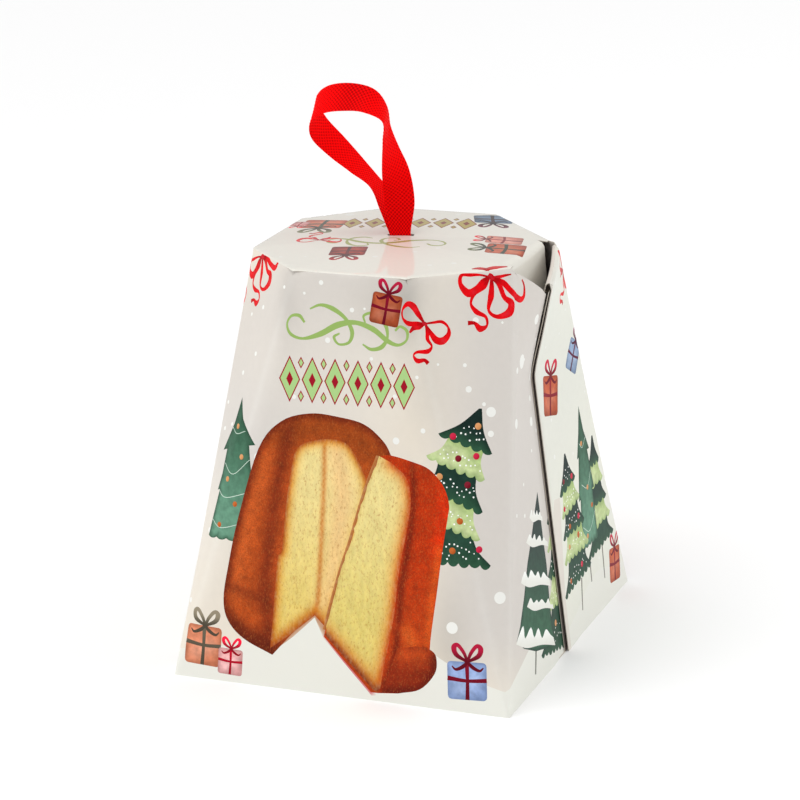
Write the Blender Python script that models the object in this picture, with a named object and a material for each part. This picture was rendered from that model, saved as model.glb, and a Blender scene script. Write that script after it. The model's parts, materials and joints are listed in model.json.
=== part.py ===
"""A shut gift carton for a pandoro, with a loop of red ribbon to carry it by.

The carton stands on the ground plane with the middle of its base at the origin. Its front faces -Y,
its right-hand side, where the board has sprung open, faces +X, and +Z is up. Lengths are in metres.
"""
import math

import bpy
import bmesh
from mathutils import Vector

MM = 0.001

# The carton: a square base that draws in to an eight-sided lid
HEIGHT = 225 * MM
BASE_HALF_X = 96.9 * MM
BASE_HALF_Y = 104.4 * MM
LID_HALF_X = 71.9 * MM
LID_HALF_Y = 71.1 * MM
FRONT_EDGE = 64.4 * MM
SIDE_EDGE = 67.0 * MM
LID_CROWN = 1.9 * MM
CROWN_SHARE = 0.55

# The right-hand side: the wings' top corners have sprung outwards, and the lid's corners a little less
SPRUNG_FRONT = Vector((80.0 * MM, -33.5 * MM, 221.4 * MM))
SPRUNG_REAR = Vector((80.7 * MM, 34.0 * MM, 220.0 * MM))
LID_FRONT_RIGHT = Vector((76.7 * MM, -33.5 * MM, 224.0 * MM))
LID_REAR_RIGHT = Vector((75.5 * MM, 34.0 * MM, 222.3 * MM))

# The board under the wings is set back from them. Above the level where the wings spring open it is
# the lid's tuck flap, which stands upright and turns over into the lid
RECESS = 1.2 * MM
POST = 2.0 * MM
TUCK_FOOT_HEIGHT = 165.0 * MM
TUCK_HIGH = (75.0 * MM, 216.0 * MM)
TUCK_TURN = (74.0 * MM, 221.6 * MM)
TUCK_TOP = (70.5 * MM, 224.3 * MM)

# The two wings that close over the right-hand side and meet at a seam
WING_BOARD = 1.6 * MM
WING_FOOT = 0.4 * MM
WING_BURY = 0.35 * MM
GAP_FLOOR = 186.0 * MM
FLOOR_BURY = 2.5 * MM
FLARE_START = 156.0 * MM
FLARE_EASE = 5.0 * MM
FRONT_SEAM_Y = -9.4 * MM
REAR_SEAM_Y = -8.2 * MM
FRONT_TIP_HEIGHT = 204.0 * MM
REAR_TIP_HEIGHT = 210.0 * MM
FRONT_FLARE = 0.335
REAR_FLARE = 0.365
HEM_THICK = 5.0 * MM
HEM_DEPTH = 14.0 * MM

# The slit in the lid, and the pocket under it that takes both ends of the ribbon
SLIT_PLACE = Vector((-0.5 * MM, 6.0 * MM, 226.8 * MM))
SLIT_TURN = math.radians(15)
POCKET_LENGTH = 15.6 * MM
POCKET_WIDTH = 4.6 * MM
POCKET_DEPTH = 9.0 * MM

# The ribbon
RIBBON_WIDTH = 16.5 * MM
RIBBON_FOOT_WIDTH = 12.8 * MM
RIBBON_THICK = 0.8 * MM
RIBBON_NARROWING = 20.0 * MM
RIBBON_STEPS = 5

# The ribbon's route from the slit, in millimetres: the middle of the ribbon, and the way its width lies
RIBBON_ROUTE = [
    ((0.0, -1.0, -8.0), (0.97, 0.26, 0.00)),
    ((0.2, -1.0, 0.0), (0.97, 0.26, 0.00)),
    ((0.4, -1.3, 11.2), (0.94, 0.35, 0.03)),
    ((0.8, -3.0, 23.3), (0.89, 0.45, 0.08)),
    ((0.7, -6.5, 35.1), (0.69, 0.70, 0.18)),
    ((-0.6, -9.8, 47.0), (0.26, 0.93, 0.24)),
    ((-1.1, -13.3, 59.1), (-0.08, 0.96, 0.28)),
    ((-0.5, -17.2, 70.8), (-0.19, 0.92, 0.35)),
    ((-8.5, -20.6, 78.3), (0.06, 0.76, 0.64)),
    ((-21.4, -19.7, 79.4), (0.00, 0.59, 0.81)),
    ((-34.4, -17.3, 76.7), (-0.10, 0.62, 0.78)),
    ((-43.6, -12.3, 69.4), (-0.07, 0.74, 0.67)),
    ((-44.0, -5.1, 58.3), (0.20, 0.79, 0.58)),
    ((-36.4, -0.1, 47.6), (0.22, 0.86, 0.47)),
    ((-26.1, 2.5, 37.2), (0.11, 0.97, 0.24)),
    ((-15.4, 4.3, 26.6), (0.05, 1.00, -0.02)),
    ((-7.1, 3.8, 13.2), (0.44, 0.90, -0.01)),
    ((-0.6, 1.1, 0.0), (0.97, 0.26, 0.00)),
    ((-0.4, 1.0, -8.0), (0.97, 0.26, 0.00)),
]

BOARD_COLOUR = (0.83, 0.80, 0.74, 1)
RIBBON_COLOUR = (0.72, 0.01, 0.01, 1)


def clear_scene():
    for old in list(bpy.data.objects):
        bpy.data.objects.remove(old, do_unlink=True)


def plain_material(name, colour, roughness):
    material = bpy.data.materials.new(name)
    material.use_nodes = True
    shader = material.node_tree.nodes["Principled BSDF"]
    shader.inputs["Base Color"].default_value = colour
    shader.inputs["Roughness"].default_value = roughness
    shader.inputs["Metallic"].default_value = 0.0
    return material


def smooth_step(share):
    share = min(max(share, 0.0), 1.0)
    return share * share * (3 - 2 * share)


def mix(first, last, share):
    return first + (last - first) * share


def mesh_object(name, points, faces):
    """A mesh object from points and faces, with points that coincide joined and every face a triangle."""
    shape = bmesh.new()
    verts = [shape.verts.new(point) for point in points]
    for face in faces:
        shape.faces.new([verts[number] for number in face])
    bmesh.ops.remove_doubles(shape, verts=shape.verts, dist=0.02 * MM)
    bmesh.ops.dissolve_degenerate(shape, dist=0.02 * MM, edges=shape.edges)
    bmesh.ops.triangulate(shape, faces=shape.faces)
    bmesh.ops.recalc_face_normals(shape, faces=shape.faces)
    mesh = bpy.data.meshes.new(name)
    shape.to_mesh(mesh)
    shape.free()
    piece = bpy.data.objects.new(name, mesh)
    bpy.context.scene.collection.objects.link(piece)
    return piece


def apply_boolean(target, tool, operation):
    """Joins or cuts the target with the tool, keeps the result and removes the tool."""
    cut = target.modifiers.new(operation.lower(), "BOOLEAN")
    cut.operation = operation
    cut.solver = "EXACT"
    cut.object = tool
    bpy.context.view_layer.update()
    evaluated = target.evaluated_get(bpy.context.evaluated_depsgraph_get())
    result = bpy.data.meshes.new_from_object(evaluated)
    target.modifiers.clear()
    target.data = result
    bpy.data.objects.remove(tool, do_unlink=True)


# The carton's corners

def base_corner(side_x, side_y):
    return Vector((side_x * BASE_HALF_X, side_y * BASE_HALF_Y, 0))


def lid_corner(along_x, along_y):
    return Vector((along_x, along_y, HEIGHT))


def carton_edges():
    """The eight edges that run up from the base to the lid, anticlockwise from the left as (foot, head)."""
    half_front = FRONT_EDGE / 2
    half_side = SIDE_EDGE / 2
    return [
        (base_corner(-1, -1), lid_corner(-LID_HALF_X, -half_side)),
        (base_corner(-1, -1), lid_corner(-half_front, -LID_HALF_Y)),
        (base_corner(1, -1), lid_corner(half_front, -LID_HALF_Y)),
        (base_corner(1, -1), LID_FRONT_RIGHT),
        (base_corner(1, 1), LID_REAR_RIGHT),
        (base_corner(1, 1), lid_corner(half_front, LID_HALF_Y)),
        (base_corner(-1, 1), lid_corner(-half_front, LID_HALF_Y)),
        (base_corner(-1, 1), lid_corner(-LID_HALF_X, half_side)),
    ]


def wing_creases():
    """The two creases that the wings turn on, front one first, as (foot, head)."""
    return [(base_corner(1, -1), SPRUNG_FRONT), (base_corner(1, 1), SPRUNG_REAR)]


def right_plane_x(height):
    """How far out the right-hand side would stand at a height, if its board lay flat."""
    return mix(BASE_HALF_X, LID_HALF_X, height / HEIGHT)


def crease_point(foot, head, height):
    return foot.lerp(head, height / head.z)


def flare(height, slope):
    """How far a wing's free edge has sprung out at a height."""
    rise = height - FLARE_START
    if rise <= 0:
        return 0.0
    return slope * rise * rise / (rise + FLARE_EASE)


# The carton's body: a loft whose right-hand side is set back for the wings to lie on

TUCK_LEVELS = [TUCK_HIGH, TUCK_TURN, TUCK_TOP]
SEAM_Y = (FRONT_SEAM_Y + REAR_SEAM_Y) / 2


def body_ring(height, tuck=None, lid=False):
    """The body's outline at a height. A tuck gives the right-hand side's own place and height."""
    ring = [crease_point(foot, head, min(height, head.z)) for foot, head in carton_edges()]
    creases = [crease_point(foot, head, min(height, head.z)) for foot, head in wing_creases()]
    inner_y = (creases[0].y + POST, SEAM_Y, creases[1].y - POST)
    if tuck:
        inner_x = [tuck[0]] * 3
        height = tuck[1]
    else:
        inner_x = [creases[0].x - RECESS, right_plane_x(height) - RECESS, creases[1].x - RECESS]
    if lid:
        creases = ring[3:5]
    inner = [Vector((x, y, height)) for x, y in zip(inner_x, inner_y)]
    return ring[:4] + creases[:1] + inner + creases[1:] + ring[4:]


def build_body():
    """The eight-sided loft, with a low crown on its lid."""
    rings = [body_ring(height) for height in (0.0, FLARE_START, TUCK_FOOT_HEIGHT)]
    rings += [body_ring(tuck[1], tuck) for tuck in TUCK_LEVELS[:-1]]
    rings.append(body_ring(HEIGHT, TUCK_LEVELS[-1], lid=True))
    lift = LID_CROWN * (1 - CROWN_SHARE ** 2)
    rings.append([Vector((p.x * CROWN_SHARE, p.y * CROWN_SHARE, HEIGHT + lift)) for p in rings[-1]])
    count = len(rings[0])
    points = [point for ring in rings for point in ring]
    faces = []
    for level in range(len(rings) - 1):
        for side in range(count):
            after = (side + 1) % count
            lower = level * count
            upper = lower + count
            faces.append((lower + side, lower + after, upper + after, upper + side))
    top = len(points)
    points.append(Vector((0, 0, HEIGHT + LID_CROWN)))
    last = (len(rings) - 1) * count
    faces += [(last + side, last + (side + 1) % count, top) for side in range(count)]
    faces.append(tuple(reversed(range(count))))
    return mesh_object("carton", points, faces)


# The wings

WING_COLUMNS = 7
WING_LEVELS = [WING_FOOT, 80 * MM, FLARE_START, 160 * MM, 165 * MM, 172 * MM, 179 * MM, GAP_FLOOR]
STEP_LEVEL = GAP_FLOOR + 1.5 * MM
HEM_ROWS = [2.5 * MM, 1.2 * MM, 0.4 * MM, 0.0]


def build_wing(name, foot, head, seam_y, tip_height, slope, top_thick):
    """A plate from a crease to the seam. Its free edge springs outwards and its top edge is rounded over.

    Up to the floor of the sprung gap the plate is thick enough to reach into the body.
    """
    inward = math.copysign(WING_BURY, seam_y - head.y)
    outer, inner = [], []
    for column in range(WING_COLUMNS):
        across = column / (WING_COLUMNS - 1)
        top = mix(head.z - WING_BURY, tip_height, across)
        half_top = top_thick / 2
        heights = WING_LEVELS + [STEP_LEVEL, top - HEM_DEPTH, top - HEM_DEPTH / 2]
        heights += [top - min(depth, half_top) for depth in HEM_ROWS]
        for height in heights:
            crease = crease_point(foot, head, height) + Vector((-WING_BURY, inward, 0))
            seam = Vector((right_plane_x(height) + flare(height, slope), seam_y, height))
            point = crease.lerp(seam, across)
            below = top - height
            spread = smooth_step((HEM_DEPTH - below) / (HEM_DEPTH / 2))
            thick = mix(WING_BOARD, top_thick, spread)
            if height <= GAP_FLOOR:
                rise = max(height - FLARE_START, 0.0) / (GAP_FLOOR - FLARE_START)
                thick += across * flare(height, slope) + FLOOR_BURY * rise
            rounding = 0.0
            if below < half_top:
                rounding = half_top - math.sqrt(max(half_top ** 2 - (half_top - below) ** 2, 0))
                rounding = min(rounding, half_top - 0.3 * MM)
            outer.append(point - Vector((rounding, 0, 0)))
            inner.append(point - Vector((thick - rounding, 0, 0)))
    rows = len(outer) // WING_COLUMNS
    shift = len(outer)
    faces = []
    for column in range(WING_COLUMNS - 1):
        for row in range(rows - 1):
            here = column * rows + row
            faces.append((here, here + rows, here + rows + 1, here + 1))
            faces.append((shift + here, shift + here + 1, shift + here + rows + 1, shift + here + rows))
        low = column * rows
        high = low + rows - 1
        faces.append((low, shift + low, shift + low + rows, low + rows))
        faces.append((high, high + rows, shift + high + rows, shift + high))
    for column in (0, WING_COLUMNS - 1):
        for row in range(rows - 1):
            here = column * rows + row
            faces.append((here, here + 1, shift + here + 1, shift + here))
    return mesh_object(name, outer + inner, faces)


def build_pocket():
    """The block that is cut from the lid to take the ribbon's two ends."""
    long_way = Vector((math.cos(SLIT_TURN), math.sin(SLIT_TURN), 0)) * POCKET_LENGTH / 2
    short_way = Vector((-math.sin(SLIT_TURN), math.cos(SLIT_TURN), 0)) * POCKET_WIDTH / 2
    points = []
    for height in (-POCKET_DEPTH, POCKET_DEPTH):
        for long_side, short_side in ((-1, -1), (1, -1), (1, 1), (-1, 1)):
            across = long_way * long_side + short_way * short_side
            points.append(SLIT_PLACE + across + Vector((0, 0, height)))
    faces = [(3, 2, 1, 0), (4, 5, 6, 7)]
    faces += [(side, (side + 1) % 4, 4 + (side + 1) % 4, 4 + side) for side in range(4)]
    return mesh_object("pocket_cutter", points, faces)


def build_carton():
    front_crease, rear_crease = wing_creases()
    carton = build_body()
    front_wing = build_wing("front_wing", *front_crease, FRONT_SEAM_Y, FRONT_TIP_HEIGHT, FRONT_FLARE, WING_BOARD)
    rear_wing = build_wing("rear_wing", *rear_crease, REAR_SEAM_Y, REAR_TIP_HEIGHT, REAR_FLARE, HEM_THICK)
    apply_boolean(carton, front_wing, "UNION")
    apply_boolean(carton, rear_wing, "UNION")
    apply_boolean(carton, build_pocket(), "DIFFERENCE")
    return carton


# The ribbon

def curve_point(values, place):
    """A smooth curve through the values, read at a place counted in stations."""
    last = len(values) - 1
    start = min(int(place), last - 1)
    share = place - start
    before = values[max(start - 1, 0)]
    first = values[start]
    second = values[start + 1]
    after = values[min(start + 2, last)]
    return 0.5 * (
        2 * first
        + (second - before) * share
        + (2 * before - 5 * first + 4 * second - after) * share ** 2
        + (3 * first - before - 3 * second + after) * share ** 3
    )


def build_ribbon():
    """A flat strip of constant width that follows the route and narrows where it enters the slit."""
    middles = [SLIT_PLACE + Vector(middle) * MM for middle, _ in RIBBON_ROUTE]
    widths = [Vector(across) for _, across in RIBBON_ROUTE]
    steps = (len(middles) - 1) * RIBBON_STEPS
    centres = [curve_point(middles, step / RIBBON_STEPS) for step in range(steps + 1)]
    points = []
    for step, centre in enumerate(centres):
        before = centres[max(step - 1, 0)]
        after = centres[min(step + 1, steps)]
        along = (after - before).normalized()
        across = curve_point(widths, step / RIBBON_STEPS)
        across = (across - along * across.dot(along)).normalized()
        face = across.cross(along)
        rise = centre.z - SLIT_PLACE.z
        width = mix(RIBBON_FOOT_WIDTH, RIBBON_WIDTH, smooth_step(rise / RIBBON_NARROWING))
        for side_across, side_face in ((-1, -1), (1, -1), (1, 1), (-1, 1)):
            corner = across * side_across * width / 2 + face * side_face * RIBBON_THICK / 2
            points.append(centre + corner)
    faces = [(0, 1, 2, 3), tuple(4 * steps + corner for corner in (3, 2, 1, 0))]
    for step in range(steps):
        for corner in range(4):
            after = (corner + 1) % 4
            here = 4 * step
            faces.append((here + corner, here + 4 + corner, here + 4 + after, here + after))
    return mesh_object("ribbon", points, faces)


clear_scene()
carton = build_carton()
carton.data.materials.clear()
carton.data.materials.append(plain_material("printed_board", BOARD_COLOUR, 0.4))
ribbon = build_ribbon()
ribbon.data.materials.append(plain_material("woven_ribbon", RIBBON_COLOUR, 0.7))
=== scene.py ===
"""Looks of a shut pandoro gift carton: printed board with its picture, and a woven ribbon.

Lengths are in millimetres until a mesh is made. The carton's sides are unfolded into one flat net. The
picture is laid out on that net and on the lid as outlined fields of colour, and the net is then folded
back into the carton's form.
"""
import json
import math
import random

import bpy
import numpy as np
from mathutils import Matrix, Vector
from mathutils.geometry import delaunay_2d_cdt

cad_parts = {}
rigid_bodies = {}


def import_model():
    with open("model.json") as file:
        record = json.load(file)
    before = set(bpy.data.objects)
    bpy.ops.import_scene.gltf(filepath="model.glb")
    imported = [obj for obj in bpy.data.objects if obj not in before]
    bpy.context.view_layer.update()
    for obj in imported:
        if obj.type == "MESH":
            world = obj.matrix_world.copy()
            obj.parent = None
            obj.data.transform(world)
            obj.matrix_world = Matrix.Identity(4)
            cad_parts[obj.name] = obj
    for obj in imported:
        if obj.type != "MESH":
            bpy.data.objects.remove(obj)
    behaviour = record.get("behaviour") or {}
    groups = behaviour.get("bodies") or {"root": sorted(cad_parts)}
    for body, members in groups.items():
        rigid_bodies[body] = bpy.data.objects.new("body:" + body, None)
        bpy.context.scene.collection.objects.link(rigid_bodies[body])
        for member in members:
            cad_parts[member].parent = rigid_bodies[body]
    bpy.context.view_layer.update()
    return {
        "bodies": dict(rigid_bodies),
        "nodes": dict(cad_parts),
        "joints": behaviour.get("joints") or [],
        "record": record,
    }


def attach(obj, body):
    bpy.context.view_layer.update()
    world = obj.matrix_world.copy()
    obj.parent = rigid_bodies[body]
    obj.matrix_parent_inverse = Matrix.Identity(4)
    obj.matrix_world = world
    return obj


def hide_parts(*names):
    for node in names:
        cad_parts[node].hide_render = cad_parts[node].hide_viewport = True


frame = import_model()

MM = 0.001
rng = random.Random(7)

# The carton's sizes, as in the solid model
HEIGHT = 225.0
BASE_HALF_X = 96.9
BASE_HALF_Y = 104.4
LID_HALF_X = 71.9
LID_HALF_Y = 71.1
HALF_FRONT_EDGE = 32.2
HALF_SIDE_EDGE = 33.5
LID_CROWN = 1.9
BOARD = 0.5

# The sprung right-hand side
FLARE_START = 156.0
FLARE_EASE = 5.0
FRONT_SEAM_Y = -9.4
REAR_SEAM_Y = -8.2
FRONT_TIP_HEIGHT = 204.0
REAR_TIP_HEIGHT = 210.0
FRONT_FLARE = 0.335
REAR_FLARE = 0.365
SEAM_STEP = 1.0
STEP_START = 0.75
STEP_END = 215.0
STEP_EASE = 40.0
HEM_RADIUS = 2.2
HEM_DEPTH = 13.0
LINING_GAP = 1.1

# The base's board, inside the sides and just above the ground
BASE_INSET = 0.6
BASE_RISE = 0.15


def spot(*values):
    return np.array(values, float)


def right_plane_x(height):
    """How far out the right-hand side would stand at a height, if its board lay flat."""
    return BASE_HALF_X + (LID_HALF_X - BASE_HALF_X) * height / HEIGHT


def unit(vector):
    return vector / np.linalg.norm(vector)


def smooth(share):
    share = np.clip(share, 0.0, 1.0)
    return share * share * (3 - 2 * share)


def flat_on_right(seam_y, height):
    return spot(right_plane_x(height), seam_y, height)


# The carton's corners, where its creases meet
CORNERS = {
    "base_front_left": spot(-BASE_HALF_X, -BASE_HALF_Y, 0),
    "base_front_right": spot(BASE_HALF_X, -BASE_HALF_Y, 0),
    "base_rear_right": spot(BASE_HALF_X, BASE_HALF_Y, 0),
    "base_rear_left": spot(-BASE_HALF_X, BASE_HALF_Y, 0),
    "lid_left_front": spot(-LID_HALF_X, -HALF_SIDE_EDGE, HEIGHT),
    "lid_front_left": spot(-HALF_FRONT_EDGE, -LID_HALF_Y, HEIGHT),
    "lid_front_right": spot(HALF_FRONT_EDGE, -LID_HALF_Y, HEIGHT),
    "lid_right_front": spot(76.7, -HALF_SIDE_EDGE, 224.0),
    "lid_right_rear": spot(75.5, 34.0, 222.3),
    "lid_rear_right": spot(HALF_FRONT_EDGE, LID_HALF_Y, HEIGHT),
    "lid_rear_left": spot(-HALF_FRONT_EDGE, LID_HALF_Y, HEIGHT),
    "lid_left_rear": spot(-LID_HALF_X, HALF_SIDE_EDGE, HEIGHT),
    "head_front": spot(80.0, -33.5, 221.4),
    "head_rear": spot(80.7, 34.0, 220.0),
}
for wing, wing_seam_y, tip_height in (
        ("front", FRONT_SEAM_Y, FRONT_TIP_HEIGHT), ("rear", REAR_SEAM_Y, REAR_TIP_HEIGHT)):
    CORNERS["crease_" + wing] = flat_on_right(*CORNERS["head_" + wing][1:])
    CORNERS["seam_foot_" + wing] = flat_on_right(wing_seam_y, 0)
    CORNERS["seam_head_" + wing] = flat_on_right(wing_seam_y, tip_height)


# The net

# The edges that panels hinge on: foot, head, the side that the panel lies on, and its other corners
HINGES = [
    ("base_front_right", "lid_front_right", -1, ["lid_right_front"]),
    ("base_front_right", "lid_right_front", -1, ["head_front"]),
    ("base_front_left", "lid_front_left", 1, ["lid_left_front"]),
    ("base_front_left", "lid_left_front", 1, ["lid_left_rear", "base_rear_left"]),
    ("base_rear_left", "lid_left_rear", 1, ["lid_rear_left"]),
    ("base_rear_left", "lid_rear_left", 1, ["lid_rear_right", "base_rear_right"]),
    ("base_rear_right", "lid_rear_right", 1, ["lid_right_rear"]),
    ("base_rear_right", "lid_right_rear", 1, ["head_rear"]),
    ("base_front_right", "head_front", -1, ["crease_front", "seam_foot_front", "seam_head_front"]),
    ("base_rear_right", "head_rear", 1, ["crease_rear", "seam_foot_rear", "seam_head_rear"]),
]
PANELS = {
    "front": ["base_front_left", "base_front_right", "lid_front_right", "lid_front_left"],
    "front_right": ["base_front_right", "lid_right_front", "lid_front_right"],
    "front_right_strip": ["base_front_right", "head_front", "lid_right_front"],
    "front_wing": ["base_front_right", "seam_foot_front", "seam_head_front", "crease_front"],
    "front_left": ["base_front_left", "lid_front_left", "lid_left_front"],
    "left": ["base_rear_left", "base_front_left", "lid_left_front", "lid_left_rear"],
    "rear_left": ["base_rear_left", "lid_left_rear", "lid_rear_left"],
    "back": ["base_rear_right", "base_rear_left", "lid_rear_left", "lid_rear_right"],
    "rear_right": ["base_rear_right", "lid_rear_right", "lid_right_rear"],
    "rear_right_strip": ["base_rear_right", "lid_right_rear", "head_rear"],
    "rear_wing": ["base_rear_right", "crease_rear", "seam_head_rear", "seam_foot_rear"],
}


def build_net():
    """Every side panel as (corners on the carton, corners on the net), and each corner's place on the net."""
    slope = math.hypot(BASE_HALF_Y - LID_HALF_Y, HEIGHT)
    flat = {
        "base_front_left": spot(-BASE_HALF_X, 0),
        "base_front_right": spot(BASE_HALF_X, 0),
        "lid_front_right": spot(HALF_FRONT_EDGE, slope),
        "lid_front_left": spot(-HALF_FRONT_EDGE, slope),
    }
    for foot, head, side, corners in HINGES:
        start = CORNERS[foot]
        lies_on = corners[0] if head.startswith("head") else head
        crease = unit(CORNERS[lies_on] - start)
        flat_crease = unit(flat[head] - flat[foot])
        sideways = side * spot(-flat_crease[1], flat_crease[0])
        for corner in corners:
            reach = CORNERS[corner] - start
            along = reach @ crease
            away = np.linalg.norm(reach - along * crease)
            flat[corner] = flat[foot] + along * flat_crease + away * sideways
    net = {}
    for name, corners in PANELS.items():
        net[name] = tuple(np.array([places[corner] for corner in corners]) for places in (CORNERS, flat))
    return net, flat


NET, FLAT = build_net()


def inside_depth(points, polygon):
    """How deep each point lies in a convex polygon; negative outside."""
    middle = polygon.mean(0)
    depth = np.full(len(points), 1e9)
    for first, second in zip(polygon, np.roll(polygon, -1, 0)):
        edge = unit(second - first)
        normal = spot(-edge[1], edge[0])
        if (middle - first) @ normal < 0:
            normal = -normal
        depth = np.minimum(depth, (points - first) @ normal)
    return depth


def carry(points, flat_corners, solid_corners):
    """Takes flat points to the plane of a panel."""
    flat_base = flat_corners[1:3] - flat_corners[0]
    solid_base = solid_corners[1:3] - solid_corners[0]
    shares = (points - flat_corners[0]) @ np.linalg.inv(flat_base)
    return solid_corners[0] + shares @ solid_base


def flare(height, slope):
    rise = np.maximum(height - FLARE_START, 0)
    return slope * rise * rise / (rise + FLARE_EASE)


def wing_crease(height, wing):
    """Where a sprung wing's crease is at each height."""
    foot, head = CORNERS[f"base_{wing}_right"], CORNERS["head_" + wing]
    return foot + np.outer(height / head[2], head - foot)


def wing_out(across, height, crease_x, wing):
    """How far out a sprung wing stands, at a share of the way across from its crease to its seam."""
    seam_x = right_plane_x(height) + flare(height, FRONT_FLARE if wing == "front" else REAR_FLARE)
    step = smooth((across - STEP_START) / (1 - STEP_START)) * SEAM_STEP
    step = -step if wing == "front" else step * smooth((STEP_END - height) / STEP_EASE)
    return crease_x + (seam_x - crease_x) * across + step


def rear_top(across):
    head_height = CORNERS["head_rear"][2]
    return head_height + (REAR_TIP_HEIGHT - head_height) * across


def spring(points, wing):
    """Moves the points of a wing from its flat plane to its sprung surface."""
    height = points[:, 2]
    crease = wing_crease(height, wing)
    seam_y = FRONT_SEAM_Y if wing == "front" else REAR_SEAM_Y
    across = (points[:, 1] - crease[:, 1]) / (seam_y - crease[:, 1])
    out = wing_out(across, height, crease[:, 0], wing)
    if wing == "rear":
        over = np.clip(HEM_RADIUS - (rear_top(across) - height), 0, HEM_RADIUS)
        out -= HEM_RADIUS - np.sqrt(HEM_RADIUS ** 2 - over ** 2)
    return np.stack([out, points[:, 1], height], 1)


def panel_normal(name):
    solid = NET[name][0]
    normal = unit(np.cross(solid[1] - solid[0], solid[2] - solid[0]))
    middle = solid.mean(0)
    return normal if normal[:2] @ middle[:2] > 0 else -normal


# Creases between two panels: the panels, the crease's ends on the net, and how far the bend reaches
CREASES = [
    ("front", "front_left", "base_front_left", "lid_front_left", 11.0),
    ("front_left", "left", "base_front_left", "lid_left_front", 5.0),
    ("front", "front_right", "base_front_right", "lid_front_right", 6.0),
    ("front_right_strip", "front_wing", "base_front_right", "head_front", 3.0),
    ("left", "rear_left", "base_rear_left", "lid_left_rear", 5.0),
    ("rear_left", "back", "base_rear_left", "lid_rear_left", 7.0),
    ("back", "rear_right", "base_rear_right", "lid_rear_right", 7.0),
    ("rear_right_strip", "rear_wing", "base_rear_right", "head_rear", 3.0),
]

# Edges where the lid meets a panel: the panel and the edge's ends. The one on the right is open
RIMS = [
    ("front", "lid_front_left", "lid_front_right"),
    ("front_right", "lid_front_right", "lid_right_front"),
    ("front_left", "lid_left_front", "lid_front_left"),
    ("left", "lid_left_rear", "lid_left_front"),
    ("rear_left", "lid_rear_left", "lid_left_rear"),
    ("back", "lid_rear_right", "lid_rear_left"),
    ("rear_right", "lid_right_rear", "lid_rear_right"),
]
RIM_REACH = 1.6
CREASE_EASE = 70.0
FOOT_BEND = 0.05
RIM_OFFSETS = [side * offset for side in (-1, 1) for offset in (0.5, 1.0, 1.6)]

# The dent below the lid's front right corner: its place from that corner, its reach and its depth
CORNER_DENT = spot(2, -8)
CORNER_DENT_REACH = 9
CORNER_DENT_DEPTH = 0.9
UP = spot(0, 0, 1)


def to_segment(points, first, second):
    """Distance of each point from a segment, and how far along it the nearest place lies."""
    span = second - first
    along = np.clip((points - first) @ span / max(span @ span, 1e-9), 0, 1)
    away = points - first - along[:, None] * span
    return np.linalg.norm(away, axis=1), along * np.linalg.norm(span)


def bend_in(distance, reach, normals):
    """The inward move that rounds a bend, for points at a distance from its line."""
    bisector = unit(normals[0] + normals[1])
    half_turn = math.acos(min(1.0, float(normals[0] @ normals[1]))) / 2
    left = np.maximum(reach - distance, 0)
    size = math.tan(half_turn) * left ** 2 / (2 * np.maximum(reach, 0.01))
    return -bisector * size[:, None]


def round_rim(solid, points, first, second, name):
    """Rounds the edge between the lid and the panel of that name."""
    distance, _ = to_segment(points, first, second)
    near = distance < RIM_REACH
    solid[near] += bend_in(distance[near], np.full(near.sum(), RIM_REACH), (panel_normal(name), UP))


def fold(points):
    """Folds flat points of the net into the carton's form, with softly rounded creases."""
    solid = np.zeros((len(points), 3))
    depth = np.full(len(points), -1e9)
    for name, (solid_corners, flat_corners) in NET.items():
        inside = inside_depth(points, flat_corners)
        here = inside > depth
        placed = carry(points[here], flat_corners, solid_corners)
        if name.endswith("wing"):
            placed = spring(placed, name.split("_")[0])
        solid[here] = placed
        depth[here] = inside[here]
    for first, second, foot, head, reach in CREASES:
        distance, along = to_segment(points, FLAT[foot], FLAT[head])
        near = distance < reach
        eased = reach * np.clip(along[near] / CREASE_EASE, FOOT_BEND, 1)
        solid[near] += bend_in(distance[near], eased, (panel_normal(first), panel_normal(second)))
    for name, first, second in RIMS:
        round_rim(solid, points, FLAT[first], FLAT[second], name)
    dent = np.linalg.norm(points - FLAT["lid_front_right"] - CORNER_DENT, axis=1)
    solid -= panel_normal("front") * (CORNER_DENT_DEPTH * np.exp(-(dent / CORNER_DENT_REACH) ** 2))[:, None]
    solid[:, 2] = np.maximum(solid[:, 2], 0.0)
    return solid


# The lid's form

LID_OUTLINE = np.array([CORNERS["lid_" + name] for name in (
    "left_front", "front_left", "front_right", "right_front",
    "right_rear", "rear_right", "rear_left", "left_rear",
)])
SHOULDER_Y = 29.5
ROLL_START = 69.5
ROLL_RADIUS = 4.8
ROLL_TURN = math.radians(86)
ROLL_EASE = 9
ROLL_SINK = 1.0
LID_RIGHT_X = 76
FLAP_END = 112.0
SLIT_PLACE = spot(-0.5, 6.0, 226.8)
SLIT_TURN = 15
SLIT_HALF_LENGTH = 7.3
SLIT_HALF_WIDTH = 1.75


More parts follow.
